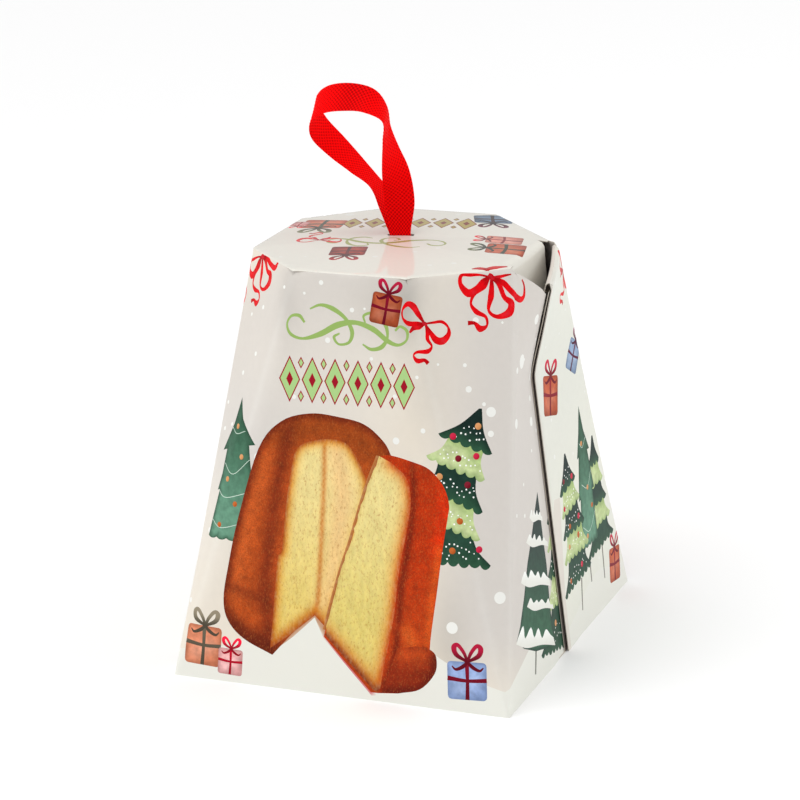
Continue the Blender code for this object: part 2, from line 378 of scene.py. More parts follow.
def shape_lid(points):
    """Takes flat points of the lid and its tuck flap to their places on the carton."""
    solid = np.zeros((len(points), 3))
    solid[:, :2] = points
    best = np.full(len(points), -1.0)
    for first, second in zip(LID_OUTLINE, np.roll(LID_OUTLINE, -1, 0)):
        shares = points @ np.linalg.inv([first[:2], second[:2]])
        reach = shares.sum(1)
        here = (reach > best) & (shares.min(1) > -1e-6)
        rim = shares @ spot(first[2] - HEIGHT, second[2] - HEIGHT)
        crown = LID_CROWN * np.clip(1 - reach ** 2, 0, 1)
        solid[here, 2] = (HEIGHT + rim + crown)[here]
        best[here] = reach[here]
    roll_z = HEIGHT - ROLL_SINK + LID_CROWN * (1 - (ROLL_START / LID_RIGHT_X) ** 2)
    on_flap = (points[:, 0] > ROLL_START) & (np.abs(points[:, 1]) < SHOULDER_Y)
    past = points[on_flap, 0] - ROLL_START
    turned = np.minimum(past / ROLL_RADIUS, ROLL_TURN)
    straight = np.maximum(past - ROLL_RADIUS * ROLL_TURN, 0)
    start = np.where(past < ROLL_EASE, solid[on_flap, 2], roll_z)
    drop = ROLL_RADIUS * (1 - np.cos(turned)) + straight * math.sin(ROLL_TURN)
    solid[on_flap, 0] = ROLL_START + ROLL_RADIUS * np.sin(turned) + straight * math.cos(ROLL_TURN)
    solid[on_flap, 2] = roll_z - drop + (start - roll_z) * np.clip(1 - past / ROLL_EASE, 0, 1)
    for name, first, second in RIMS:
        round_rim(solid, points, CORNERS[first][:2], CORNERS[second][:2], name)
    return solid


# Outlines

def curve_through(points, steps=6, closed=False):
    """A smooth curve through control points."""
    points = np.asarray(points, float)
    count = len(points)
    if closed:
        padded = np.concatenate([points[-1:], points, points[:2]])
        spans = count
    else:
        padded = np.concatenate([2 * points[:1] - points[1:2], points, 2 * points[-1:] - points[-2:-1]])
        spans = count - 1
    shares = np.linspace(0, 1, steps, endpoint=False)[:, None]
    parts = []
    for start in range(spans):
        before, first, second, after = padded[start:start + 4]
        parts.append(0.5 * (
            2 * first + (second - before) * shares
            + (2 * before - 5 * first + 4 * second - after) * shares ** 2
            + (3 * first - before - 3 * second + after) * shares ** 3
        ))
    if not closed:
        parts.append(points[-1:])
    return np.concatenate(parts)


def stroke(points, widths, steps=6):
    """The outline of a brush stroke of changing width along a curve."""
    line = curve_through(points, steps)
    places = np.linspace(0, len(widths) - 1, len(line))
    half = np.interp(places, np.arange(len(widths)), widths) / 2
    along = np.gradient(line, axis=0)
    along /= np.maximum(np.linalg.norm(along, axis=1), 1e-9)[:, None]
    across = np.stack([-along[:, 1], along[:, 0]], 1)
    return np.concatenate([line + across * half[:, None], (line - across * half[:, None])[::-1]])


def circle(middle, radius, stretch=1.0):
    count = 6 if radius < 0.6 else 9 if radius < 1.5 else 16
    turns = np.linspace(0, 2 * math.pi, count, endpoint=False)
    return np.stack([np.cos(turns) * radius * stretch, np.sin(turns) * radius], 1) + middle


def rounded_box(half_width, half_height, corner):
    """A box with rounded corners about the origin."""
    points = []
    for side_x, side_y, start in ((1, 1, 0), (-1, 1, 90), (-1, -1, 180), (1, -1, 270)):
        for turn in range(start, start + 91, 30):
            angle = math.radians(turn)
            points.append((
                side_x * (half_width - corner) + corner * math.cos(angle),
                side_y * (half_height - corner) + corner * math.sin(angle),
            ))
    return np.array(points)


def scallops(first, second, count, depth, seed=0):
    """A line of drooping scallops from one place to another."""
    first, second = np.array(first, float), np.array(second, float)
    along = second - first
    down = unit(spot(along[1], -along[0]))
    wobble = random.Random(seed)
    points = []
    for number in range(count):
        deep = depth * wobble.uniform(0.75, 1.25)
        for step in range(6):
            share = (number + step / 6) / count
            points.append(first + along * share + down * deep * math.sin(math.pi * step / 6) ** 0.7)
    points.append(second)
    return np.array(points)


def teeth(first, second, count, depth, seed=0):
    """A line of uneven points, like snow that hangs from a branch."""
    first, second = np.array(first, float), np.array(second, float)
    along = second - first
    up = unit(spot(-along[1], along[0]))
    wobble = random.Random(seed)
    points = [first]
    for number in range(1, count):
        share = (number + wobble.uniform(-0.25, 0.25)) / count
        lift = depth * (wobble.uniform(0.5, 1.0) if number % 2 else wobble.uniform(-0.1, 0.25))
        points.append(first + along * share + up * lift)
    points.append(second)
    return curve_through(points, 3)


# Colours

def tone(red, green, blue):
    """A colour from its three display values, 0 to 255."""
    return np.array([red, green, blue], float) / 255


SKY = tone(222, 216, 206)
SKY_WARM = tone(230, 219, 200)
SKY_GREY = tone(206, 201, 196)
SKY_COOL = tone(228, 232, 222)
LID_GROUND = tone(225, 222, 212)
SNOW = tone(229, 229, 221)
FLAKE = tone(246, 248, 244)
FAINT_FLAKE = tone(234, 234, 229)
BOW_RED = tone(218, 12, 22)
BOW_DARK = tone(140, 0, 14)
BOW_PINK = tone(236, 92, 104)
PINE_DARK = tone(30, 50, 46)
PINE_TEAL = tone(62, 104, 80)
PINE_SEA = tone(104, 146, 124)
PINE_LIGHT = tone(196, 210, 156)
PINE_LEAF = tone(158, 182, 116)
PEACH = tone(222, 152, 92)
COPPER = tone(196, 92, 30)
CHERRY = tone(208, 24, 60)
WINE = tone(124, 12, 30)
SCROLL_GREEN = tone(152, 180, 104)
MARK_GREEN = tone(172, 206, 138)
MARK_RED = tone(160, 26, 46)
RAW_EDGE = tone(186, 178, 166)
INNER_BOARD = tone(218, 210, 202)
# Painted shade: the colour of the sheet in the seam's gap
SEAM_SHADE = tone(66, 58, 54)

# How much darker than on screen the inks are, so that they keep their strength under the coating
SIDE_INK_DEPTH = 0.04
LID_INK_DEPTH = 0.26

# How much wash, crust grain and crumb grain a field has
PLAIN = (0.0, 0.0, 0.0)
WASH = (1.0, 0.0, 0.0)
CRUST_GRAIN = (0.0, 1.0, 0.0)
CRUMB_GRAIN = (0.0, 0.0, 1.0)
GROUND_WASH = 0.06


def plain(colour):
    return lambda points: np.tile(colour, (len(points), 1))


def fade(first, last, start, end):
    """A colour that changes from one place to another."""
    start, end = np.array(start, float), np.array(end, float)
    span = end - start

    def paint(points):
        share = smooth((points - start) @ span / (span @ span))
        return first + (last - first) * share[:, None]
    return paint


def ring(outline):
    """An outline that ends where it starts."""
    return np.concatenate([outline, outline[:1]])


def distance_to(points, line):
    """Distance of each point from a line of places."""
    line = np.asarray(line, float)
    best = np.full(len(points), 1e9)
    for first, second in zip(line[:-1], line[1:]):
        best = np.minimum(best, to_segment(points, first, second)[0])
    return best


def layered(base, *touches):
    """A base colour, with touches of (colour, line, reach, strength) laid over it near lines."""
    def paint(points):
        colour = base(points)
        for touch, line, reach, strength in touches:
            share = strength * np.exp(-(distance_to(points, line) / reach) ** 2)
            colour = colour + (touch - colour) * share[:, None]
        return colour
    return paint


# The picture: fields of colour on a flat sheet, the later ones on top

class Picture:
    """What is printed on a sheet: its fields of colour, and how much darker its inks are than on screen."""

    def __init__(self, ink_depth):
        self.ink_depth = ink_depth
        self.fields = []


class Frame:
    """A place on a picture where a motif is drawn: an origin, a turn and a scale."""

    def __init__(self, picture, origin=(0, 0), turn=0.0, scale=1.0):
        ahead = scale * spot(math.cos(math.radians(turn)), math.sin(math.radians(turn)))
        self.picture = picture
        self.origin = np.array(origin, float)
        self.matrix = np.array([[ahead[0], -ahead[1]], [ahead[1], ahead[0]]])

    def inner(self, origin, turn=0.0, scale=1.0):
        """A frame that is placed, turned and scaled within this one."""
        frame = Frame(self.picture, self.at(origin), turn, scale)
        frame.matrix = self.matrix @ frame.matrix
        return frame

    def at(self, points):
        return np.asarray(points, float) @ self.matrix.T + self.origin

    def back(self, points):
        return (points - self.origin) @ np.linalg.inv(self.matrix).T

    def add(self, outline, paint, grain=PLAIN):
        """Adds a field of colour whose outline and paint are given in this frame."""
        def deepened(points):
            colour = paint(self.back(points))
            return np.clip(colour - self.picture.ink_depth * (1 - colour), 0, 1)
        self.picture.fields.append((self.at(outline), deepened, grain))


def draw_balls(place, balls):
    for across, up, radius, colour in balls:
        ball = circle((across, up), radius)
        shine, shade = (across - radius * 0.3, up + radius * 0.3), (across + radius, up - radius)
        place.add(ball, fade(colour * 0.85 + 0.12, colour * 0.85, shine, shade))


def draw_garland(place, points, outline, spacing=2.8, radius=0.48):
    """A string of small white dots along a drooping line, kept inside an outline."""
    line = curve_through(points, 12)
    lengths = np.concatenate([[0], np.cumsum(np.linalg.norm(np.diff(line, axis=0), axis=1))])
    dots = []
    for length in np.arange(0, lengths[-1], spacing):
        across = np.interp(length, lengths, line[:, 0]) + rng.uniform(-0.8, 0.8)
        up = np.interp(length, lengths, line[:, 1]) + rng.uniform(-1.2, 1.2)
        dots.append((across, up))
    for dot in keep_inside(dots, outline, radius + 0.5):
        place.add(circle(dot, radius * rng.uniform(0.75, 1.25)), plain(FLAKE))


BOW_BOLDNESS = 0.86


def draw_bow_strokes(place, strokes):
    """Brush strokes of a red ribbon, each darker at its ends and lighter where it is widest."""
    for points, widths in strokes:
        widths = [width * BOW_BOLDNESS for width in widths]
        line = curve_through(points, 5)
        places = np.linspace(0, len(widths) - 1, len(line))
        widest = int(np.argmax(np.interp(places, np.arange(len(widths)), widths)))
        crest = line[max(widest - 4, 0):widest + 4]
        paint = layered(
            plain(BOW_RED),
            (BOW_DARK, line[:4], 1.6, 0.6),
            (BOW_DARK, line[-5:], 1.4, 0.5),
            (BOW_PINK, crest, 0.9, 0.42),
        )
        place.add(stroke(points, widths), paint, WASH)


def draw_pair_bow(place):
    """A bow with two loops and two tails, its knot at the origin, about 26 mm wide."""
    strokes = [
        ([(0, 0), (-3, -2), (-6, -2.6), (-8.2, -5.2)], [1.2, 2.8, 3.0, 1.2]),
        ([(0.4, 0), (1.6, -4), (1.8, -8), (4.2, -11.5), (2, -14.3), (-3.6, -15.0), (-5.6, -17.0),
          (-3.4, -19.6), (0.4, -19.0), (2.6, -20.6)], [1.2, 2.6, 2.4, 1.2, 3.0, 1.8, 1.0, 3.2, 2.2, 2.6]),
        ([(0, 0), (-3.5, 4.4), (-6.8, 8.6), (-10, 9.6), (-12.6, 6.4), (-12.2, 2.2), (-9, -0.4),
          (-4, -0.2), (0, 0)], [1.0, 3.2, 4.2, 3.2, 1.0, 1.2, 3.2, 2.8, 1.2]),
        ([(0, 0), (4.5, 0.8), (9.4, 1.4), (12.8, -1.2), (13.2, -5.0), (10.2, -8.4), (6.6, -8.2),
          (3.4, -4.6), (0, 0)], [1.0, 1.6, 2.0, 1.4, 3.0, 4.6, 4.4, 2.8, 1.2]),
        ([(-1.4, 0.6), (0, 0), (1.4, -0.6)], [1.8, 2.6, 1.8]),
    ]
    draw_bow_strokes(place, strokes)


def draw_fan_bow(place):
    """A bow that hangs from an edge: side loops, a long middle loop and a curling tail."""
    strokes = [
        ([(-1, 0), (-3.6, -5), (-8.6, -9.4), (-10.2, -14.6), (-6.8, -18.6), (-1.6, -20.8), (-0.6, -25.2),
          (-4.2, -27.2), (-7.4, -24.6), (-11.2, -24.8)], [1.4, 3.4, 2.2, 1.6, 3.4, 2.0, 1.4, 4.4, 2.0, 2.8]),
        ([(0, 0), (4, 0.6), (8, 1.8), (11, 2.6)], [1.4, 2.2, 1.6, 0.8]),
        ([(0, 0), (4.6, -3.2), (8, -9.6), (12.2, -12.6), (11.2, -17.6), (4.6, -20.2), (-0.2, -17.2),
          (0.6, -10), (0.6, -4), (0, 0)], [1.4, 3.2, 3.0, 4.6, 5.2, 2.6, 1.8, 4.0, 3.0, 1.4]),
        ([(0, 0), (-6, 0.8), (-11.6, 0.4), (-16.4, -0.2), (-16.6, -5), (-12, -9.2), (-7.4, -6.6),
          (-4, -2), (0, 0)], [1.2, 1.4, 2.4, 2.2, 2.8, 5.2, 4.2, 3.0, 1.6]),
        ([(0, 0), (6.6, -2), (11.4, -6), (17.2, -9.4), (20.4, -7.4), (19.8, -2.4), (17.6, 1.2)],
         [1.4, 3.6, 3.6, 4.2, 2.6, 1.4, 1.0]),
        ([(-1.6, 1.4), (0, 0.4), (1.2, -1.2)], [2.6, 3.6, 2.6]),
    ]
    draw_bow_strokes(place, strokes)


def draw_gift(place, width, height, body, ribbon):
    """A present with rounded corners, a crossed ribbon and a small bow, its middle at the origin."""
    half_width, half_height = width / 2, height / 2
    box = rounded_box(half_width, half_height, min(width, height) * 0.1)
    highlight = [(-half_width * 0.4, -half_height * 0.4), (half_width * 0.4, 0)]
    body_paint = layered(
        fade(body * 0.93 + 0.07, body * 0.88, (-half_width, half_height), (half_width, -half_height)),
        (body * 0.5 + 0.5, highlight, 0.22 * width, 0.35),
        (body * 0.74, ring(box), 0.08 * width, 0.7),
    )
    place.add(box, body_paint, WASH)
    band = 0.075 * width
    dark = ribbon * 0.75
    bright = np.clip(ribbon * 1.25 + 0.04, 0, 1)
    upright = [(0.0, half_height), (0.2, 0), (0.0, -half_height)]
    level = [(-half_width, 0.05 * height), (0, 0.0), (half_width, 0.04 * height)]
    for line in (level, upright):
        outline = stroke(line, [band * 1.5, band * 1.1, band * 1.4], 3)
        place.add(outline, fade(ribbon, dark, (0, half_height), (0, -half_height)))
    knot = spot(0.02 * width, half_height)
    bow_paint = fade(bright, dark, knot + spot(0, 0.34 * width), knot)
    loop = [(0, 0), (0.09, 0.22), (0.24, 0.40), (0.34, 0.34), (0.28, 0.16), (0, 0)]
    tail = [(0, 0), (0.12, -0.12), (0.3, -0.2), (0.4, -0.12)]
    for side in (-1, 1):
        for line, widths in ((loop, [0.07, 0.09, 0.1, 0.14, 0.12, 0.06]), (tail, [0.07, 0.1, 0.07, 0.03])):
            points = np.array(line) * (side * width, width) + knot
            place.add(stroke(points, [value * width for value in widths], 5), bow_paint)


def draw_gifts(place, gifts, shift=0.0):
    """Presents from a list of middle, turn, width, height, colour and ribbon's colour."""
    for (across, up), turn, width, height, body, ribbon in gifts:
        draw_gift(place.inner((across + shift, up), turn), width, height, tone(*body), tone(*ribbon))


def draw_plain_tree(place, left, right, strings, balls):
    """A teal tree in one piece, with thin white garlands and balls, from its left and right sides."""
    bottom = scallops(left[-1], right[-1], 5, 1.2, 3)
    outline = np.concatenate([left, bottom, right[:0:-1]])
    top, foot = left[0], (bottom[0] + bottom[-1]) / 2
    paint = layered(
        fade(PINE_SEA * 1.04, PINE_TEAL * 0.9, foot, top),
        (PINE_TEAL * 0.7, ring(outline), 1.5, 0.7),
    )
    place.add(outline, paint, WASH)
    for string in strings:
        place.add(stroke(string, [0.35, 0.35, 0.35]), plain(tone(205, 222, 208)))
    draw_balls(place, [(across, up, 1.5, colour) for across, up, colour in balls])


def keep_inside(points, outline, margin):
    """The points that lie well inside an outline."""
    points = np.asarray(points, float)
    return points[winding_inside(points, outline) & (distance_to(points, ring(outline)) > margin)]


# A garland's places: the share of its tier's width from the middle, and the rise in shares of its sag
GARLAND = [(-0.36, 0.6), (-0.2, -1), (-0.04, 0.4), (0.1, -0.8), (0.24, 0.5), (0.36, -0.5)]


def draw_tiered_tree(place, apex, tips, seed=1, dot_gap=3.6, balls=None):
    """A tree of dark and light tiers with scalloped hems, dots of snow and balls.

    The tips are each tier's left and right ends, from the top tier down. Without a list of balls, two
    are hung in each tier. A dot gap of zero leaves the tree without dots.
    """
    wobble = random.Random(seed)
    tips = [(np.array(left, float), np.array(right, float)) for left, right in tips]
    for number in range(len(tips) - 1, -1, -1):
        left, right = tips[number]
        span = right - left
        width = np.linalg.norm(span)
        up = unit(spot(-span[1], span[0]))
        if number:
            above_left, above_right = tips[number - 1]
            head_left = above_left + (above_right - above_left) * 0.2 + up * 2
            head_right = above_left + (above_right - above_left) * 0.84 + up * 2
        else:
            head_left = np.array(apex, float) - spot(0.8, 0)
            head_right = np.array(apex, float) + spot(0.8, 0)
        side_left = left + (head_left - left) * 0.45 + unit(span) * 0.07 * width
        side_right = right + (head_right - right) * 0.45 - unit(span) * 0.07 * width
        hem = scallops(left, right, max(4, round(width / 6)), 1.9, seed * 31 + number)
        sides = [(right, side_right, head_right), (head_left, side_left, left)]
        outline = np.concatenate([hem] + [curve_through(side, 5) for side in sides])
        middle = (left + right) / 2
        tall = (head_left + head_right) / 2 - middle
        if number % 2 == 0:
            dark = PINE_DARK + (PINE_TEAL - PINE_DARK) * 0.13 * number
            paint = layered(
                fade(PINE_TEAL * 0.8, dark, middle, middle + tall * 0.5),
                (PINE_TEAL, hem, 1.2, 0.4),
                (PINE_DARK * 0.9, outline[len(hem):], 1.2, 0.5),
            )
        else:
            paint = layered(
                fade(PINE_LIGHT, PINE_LEAF, middle, middle + tall),
                (tone(128, 158, 96), hem, 1.2, 0.5),
                (tone(214, 220, 178), [left + span * share + tall * 0.5 for share in (0.2, 0.5)], 4.0, 0.5),
            )
        place.add(outline, paint, WASH)
        for level, sag in ((0.46, 0.12), (0.26, 0.14)) if dot_gap else ():
            line = [middle + span * share + tall * (level + sag * dip) for share, dip in GARLAND]
            draw_garland(place, line, outline, dot_gap)
        if balls is None:
            hung = []
            for side in (-1, 1):
                colour = wobble.choice([CHERRY, WINE, PEACH, COPPER])
                centre = middle + span * side * wobble.uniform(0.1, 0.32) + tall * wobble.uniform(0.1, 0.55)
                if len(keep_inside([centre], outline, 1.6)):
                    hung.append((centre[0], centre[1], wobble.uniform(1.5, 1.9), colour))
            draw_balls(place, hung)
    if balls:
        draw_balls(place, [(across, up, 1.8, colour) for across, up, colour in balls])


def draw_snowy_tree(place, height, half_width):
    """A slim dark tree whose tiers carry drifts of snow, its foot at the origin."""
    trunk = stroke([(0, 4), (0.1, -5), (0, -14)], [2.4, 2.1, 2.0], 3)
    place.add(trunk, plain(tone(126, 126, 118)), WASH)
    side = [(0.12, 0.9), (0.33, 0.70), (0.52, 0.54), (0.67, 0.32), (0.83, 0.14), (0.98, 0.045), (0.6, 0.0)]
    right = [(across * half_width, up * height) for across, up in side]
    left = [(-across, up) for across, up in right]
    outline = np.array([(0, height)] + right + [(0, -0.02 * height)] + left[::-1])
    paint = layered(
        fade(PINE_TEAL, PINE_DARK, (0, 0), (0, height)),
        (PINE_DARK, ring(outline), 1.2, 0.7),
    )
    place.add(outline, paint, WASH)
    drifts = [
        (0.0, 0.13, 1.0, 0.0), (0.235, 0.08, 0.72, 0.22), (0.385, 0.12, 0.80, -0.04),
        (0.64, 0.075, 0.64, 0.04), (0.80, 0.07, 0.38, -0.06),
    ]
    for number, (low, tall, wide, across) in enumerate(drifts):
        level = low * height + 1.5
        reach = wide * half_width
        shift = across * half_width
        under = curve_through([(-reach + shift, level + 1.0), (-reach * 0.45 + shift, level - 1.2),
                               (reach * 0.3 + shift, level + 0.2), (reach + shift, level - 0.4)], 5)
        top = teeth((-reach * 0.92 + shift, level + tall * height * 0.4),
                    (reach * 0.9 + shift, level + tall * height * 0.36), 9, tall * height * 0.6, number + 2)
        place.add(np.concatenate([under, top[::-1]]), fade(SNOW, FLAKE, (0, level), (0, level + 8)))


FLAKE_GAP = 12.0


def draw_chosen_flakes(place, flakes):
    for across, up, radius in flakes:
        place.add(circle((across, up), radius), plain(FAINT_FLAKE))


def draw_flakes(place, corners, count, seed):
    """Soft white flakes scattered over a box."""
    scatter = random.Random(seed)
    (low_x, low_y), (high_x, high_y) = corners
    middles = []
    for _ in range(count * 2):
        middle = spot(scatter.uniform(low_x, high_x), scatter.uniform(low_y, high_y))
        radius = scatter.choice([0.7, 0.8, 0.9, 1.0, 1.1, 1.2, 1.3, 1.5, 1.7, 2.7])
        if len(middles) == count or any(np.linalg.norm(middle - other) < FLAKE_GAP for other in middles):
            continue
        middles.append(middle)
        place.add(circle(middle, radius), plain(FAINT_FLAKE))


def draw_drift(place, half_width, heights):
    """The snow on the ground along the foot of a side."""
    places = np.linspace(-half_width, half_width, len(heights))
    top = curve_through(list(zip(places, heights)), 6)
    outline = np.concatenate([top, [(half_width, -2), (-half_width, -2)]])
    place.add(outline, plain(SNOW))


def draw_scroll(place, colour):
    """A flourish of curling strokes, about 72 mm wide, centred on the origin."""
    strokes = [
        ([(-23, 2), (-26, 5.4), (-30.8, 5), (-33.4, 0.6), (-31, -4.6), (-24, -6.6), (-14, -3.6), (-4, 1.8),
          (6, 3.6), (16, 0.6), (24, -5), (30, -6.8), (34.6, -4), (34.8, 0.8), (31, 3), (28.2, 0.6)],
         [1.2, 2.0, 1.4, 1.2, 1.8, 1.4, 3.0, 3.4, 2.4, 3.0, 2.6, 1.6, 1.2, 1.8, 1.4, 1.2]),
        ([(-20, 9.4), (-14, 11.8), (-7, 10.2), (0, 5.6), (4, -1.2), (2.4, -7), (-3.4, -8.4),
          (-6.2, -4.8), (-3, -2.6)], [0.8, 1.6, 2.6, 2.0, 2.4, 1.6, 1.2, 1.6, 0.9]),
        ([(10, -7.6), (15, -10), (21, -8.2), (24, -2.4), (22, 5), (16.4, 9.2), (10.6, 7.6), (11.4, 3.8)],
         [0.8, 1.8, 2.4, 1.4, 2.6, 1.6, 1.4, 0.9]),
    ]
    for points, widths in strokes:
        place.add(stroke(points, widths), plain(colour))


MARK_COUNT = 6
MARK_PITCH = 13.0
MARK_HEIGHT = 25.0


def draw_marks(place, fill, edge):
    """A band of tall lozenges with dark edges, and small ones between them."""
    def lozenge(across, level, wide, tall, colour):
        half, up = MARK_PITCH * wide, MARK_HEIGHT * tall
        corners = [(across + half, level), (across, level + up), (across - half, level), (across, level - up)]
        place.add(corners, plain(colour))

    for number in range(MARK_COUNT):
        across = (number - (MARK_COUNT - 1) / 2) * MARK_PITCH
        lozenge(across, 0, 0.47, 0.5, edge)
        lozenge(across, 0, 0.41, 0.44, fill)
        lozenge(across, 0, 0.15, 0.16, edge)
        if number < MARK_COUNT - 1:
            for level in (-MARK_HEIGHT * 0.36, MARK_HEIGHT * 0.36):
                lozenge(across + MARK_PITCH / 2, level, 0.14, 0.13, edge)
                lozenge(across + MARK_PITCH / 2, level, 0.09, 0.085, fill)


# The cut cake in the picture, drawn on the front panel's own measure

CAKE_BODY = [
    (-39, 18), (-56, 25), (-65.5, 34), (-68.4, 46), (-65.8, 65), (-60.6, 91), (-49.4, 130), (-36.6, 146),
    (-20, 151.8), (-4, 151.4), (11.3, 148.6), (22.4, 140.4), (27, 133), (24, 110), (8, 60), (-4, 34),
    (-14.7, 43.5), (-27.8, 31),
]
CAKE_GROOVE = [(-32, 141), (-36.5, 120), (-39.5, 100), (-43, 70), (-44, 48), (-41, 20)]
CAKE_CRUMB = [
    (-40.4, 21.6), (-38.8, 43), (-37, 71), (-34.6, 76.5), (-32.8, 100), (-30, 121), (-27.8, 130.5),
    (-23.4, 135.2), (-15.7, 137.8), (-7, 139.2), (2, 137), (8.8, 128), (13.6, 118), (14, 108), (4, 70),
    (-4, 46), (-7, 35.5), (-14.7, 42.6), (-27.8, 31.2),
]
CAKE_RIDGE = [(-11.3, 138), (-11, 117), (-11.8, 87), (-12.8, 56), (-14.4, 43.5)]
SLICE_CRUST = [
    (20, 132.4), (26.6, 133.5), (38.8, 131.2), (48.5, 128), (56.2, 120.2), (59.8, 111), (59.4, 104),
    (57.2, 88), (54.6, 63.6), (51.4, 31.6), (55.2, 27.6), (54.6, 19), (46.5, 9.4), (34, 5.6), (22.6, 4.4),
    (18.6, 4.4), (4, 18.6), (-9.2, 31.6), (-8.4, 35.4),
]
SLICE_CRUMB = [
    (20.1, 132.6), (14.3, 117), (9.3, 100), (5.2, 85), (0.2, 69), (-3.8, 54), (-8.2, 35.4), (-8.6, 33),
    (4.9, 20), (19.4, 6.4), (23.4, 6.4), (25.6, 18.7), (30.3, 45), (32.9, 71.6), (37.2, 97.7), (38.4, 111),
    (35.4, 122.6), (27, 129.6),
]
SLICE_GROOVE = [(39, 130), (39.8, 111), (38.2, 90), (34.4, 62), (32.2, 29), (25, 6)]
SLICE_FOOT = [(25, 5), (33, 30), (45, 32.6), (52, 31.4), (55.2, 27.6), (54.6, 19), (46.5, 9.4), (34, 5.6)]


# Along the foot of the cut: a shadow on the ground and the red light from the slice
CAKE_UNDER = [
    (-41, 18), (-27, 29.5), (-14.7, 41.5), (-9.5, 31), (4, 17.5), (19, 2.6), (24, 2.8), (8, 24), (-4, 45),
    (-15, 47), (-30, 33),
]


def part_curved(outline, count):
    """An outline whose first places lie on a smooth curve, and the others on straight lines."""
    return np.concatenate([curve_through(outline[:count], 5), outline[count:]])


def draw_loaf(place):
    """The standing part of the cake: its crust, and the crumb that the cut shows."""
    body = part_curved(CAKE_BODY, 13)
    deep = tone(112, 38, 18)
    dusk = tone(96, 34, 18)
    body_paint = layered(
        fade(tone(156, 66, 26), tone(192, 86, 34), (-40, 15), (-30, 60)),
        (tone(156, 74, 26), [(-34, 142), (-8, 146), (16, 134)], 13.0, 0.8),
        (tone(212, 102, 46), [(-63, 48), (-58, 75), (-52, 100), (-44, 125)], 5.0, 0.75),
        (deep, curve_through(CAKE_GROOVE, 5), 4.5, 0.62),
        (deep, body[:62], 3.0, 0.85),
        (dusk, [(-66, 54), (-55, 50), (-44, 48)], 3.4, 0.35),
        (dusk, [(-64, 33), (-52, 25), (-40, 20)], 7.0, 0.7),
        (tone(212, 96, 36), [(-58, 41), (-50, 36)], 5.5, 0.6),
    )
    place.add(body, body_paint, CRUST_GRAIN)
    crumb = part_curved(CAKE_CRUMB, 13)
    hollow = [(-40.4, 21.6), (-27.8, 31.2), (-14.7, 42.6), (-7, 35.5)]
    crumb_paint = layered(
        fade(tone(226, 202, 114), tone(234, 216, 148), (-25, 30), (-20, 120)),
        (tone(238, 196, 138), [(-4, 134), (0, 110), (-3, 80), (-8, 50)], 7.0, 0.75),
        (tone(200, 120, 52), curve_through(CAKE_RIDGE, 5), 1.3, 0.85),
        (tone(218, 140, 40), ring(crumb), 3.6, 0.85),
        (tone(184, 100, 26), hollow, 4.4, 0.8),
        (tone(168, 78, 26), ring(crumb), 1.3, 0.95),
    )
    place.add(crumb, crumb_paint, CRUMB_GRAIN)


def draw_slice(place):
    """The slice that leans on the cake: its crust, its foot, its crumb and the shade beside it."""
    crust_paint = layered(
        fade(tone(192, 70, 22), tone(192, 58, 12), (40, 20), (48, 100)),
        (tone(226, 54, 8), [(58, 118), (58, 98), (55, 84)], 5.0, 0.9),
        (tone(232, 104, 40), [(50, 36), (52, 60), (55, 86)], 2.6, 0.6),
        (tone(128, 38, 14), curve_through(SLICE_GROOVE, 5), 2.0, 0.9),
        (tone(158, 46, 18), [(39, 131), (50, 127.4)], 3.0, 0.5),
        (tone(236, 116, 50), [(38, 40), (41, 34)], 4.0, 0.6),
    )
    place.add(part_curved(SLICE_CRUST, 11), crust_paint, CRUST_GRAIN)
    foot_paint = layered(
        plain(tone(150, 50, 20)),
        (tone(206, 84, 34), [(36, 27), (46, 28)], 5.0, 0.8),
        (tone(104, 26, 16), [(25, 5), (34, 6), (46.5, 9.6), (54.4, 19), (55, 27)], 3.2, 0.85),
    )
    foot = np.concatenate([SLICE_FOOT[:2], curve_through(SLICE_FOOT[1:], 5)])
    place.add(foot, foot_paint, CRUST_GRAIN)
    ragged = random.Random(11)
    near_edge = curve_through(SLICE_CRUMB[:7], 5)
    cast = np.concatenate([near_edge, (near_edge + spot(-1.7, 0.2))[::-1]])
    shade = layered(plain(tone(214, 150, 96)), (tone(150, 84, 40), near_edge, 2.0, 0.8))
    place.add(cast, shade, CRUMB_GRAIN)
    near_side = [(across + ragged.uniform(-0.6, 0.5), up) for across, up in curve_through(SLICE_CRUMB[:8], 6)]
    crumb = np.concatenate([near_side, curve_through(SLICE_CRUMB[8:], 5)])
    lower = [(-8.8, 33), (4.9, 20), (19.4, 6.4), (23.4, 6.4)]
    far_side = curve_through(SLICE_CRUMB[10:], 5)
    crumb_paint = layered(
        fade(tone(222, 204, 118), tone(232, 216, 148), (5, 30), (25, 120)),
        (tone(224, 136, 56), far_side, 5.2, 0.8),
        (tone(186, 70, 24), far_side, 1.9, 0.9),
        (tone(204, 112, 36), lower, 6.0, 0.85),
        (tone(128, 46, 20), lower, 2.4, 0.95),
        (tone(214, 186, 110), near_edge, 1.0, 0.6),
    )
    place.add(crumb, crumb_paint, CRUMB_GRAIN)


def draw_cake(place):
    shadow = layered(
        plain(SNOW),
        (tone(176, 120, 84), [(-40, 20), (-27.8, 31), (-14.7, 43.5), (-8, 34)], 2.2, 0.8),
        (tone(190, 60, 70), [(-8, 32), (4, 18), (19, 4)], 1.2, 0.7),
    )
    place.add(CAKE_UNDER, shadow)
    draw_loaf(place)
    draw_slice(place)


# What stands round the cake on the front panel

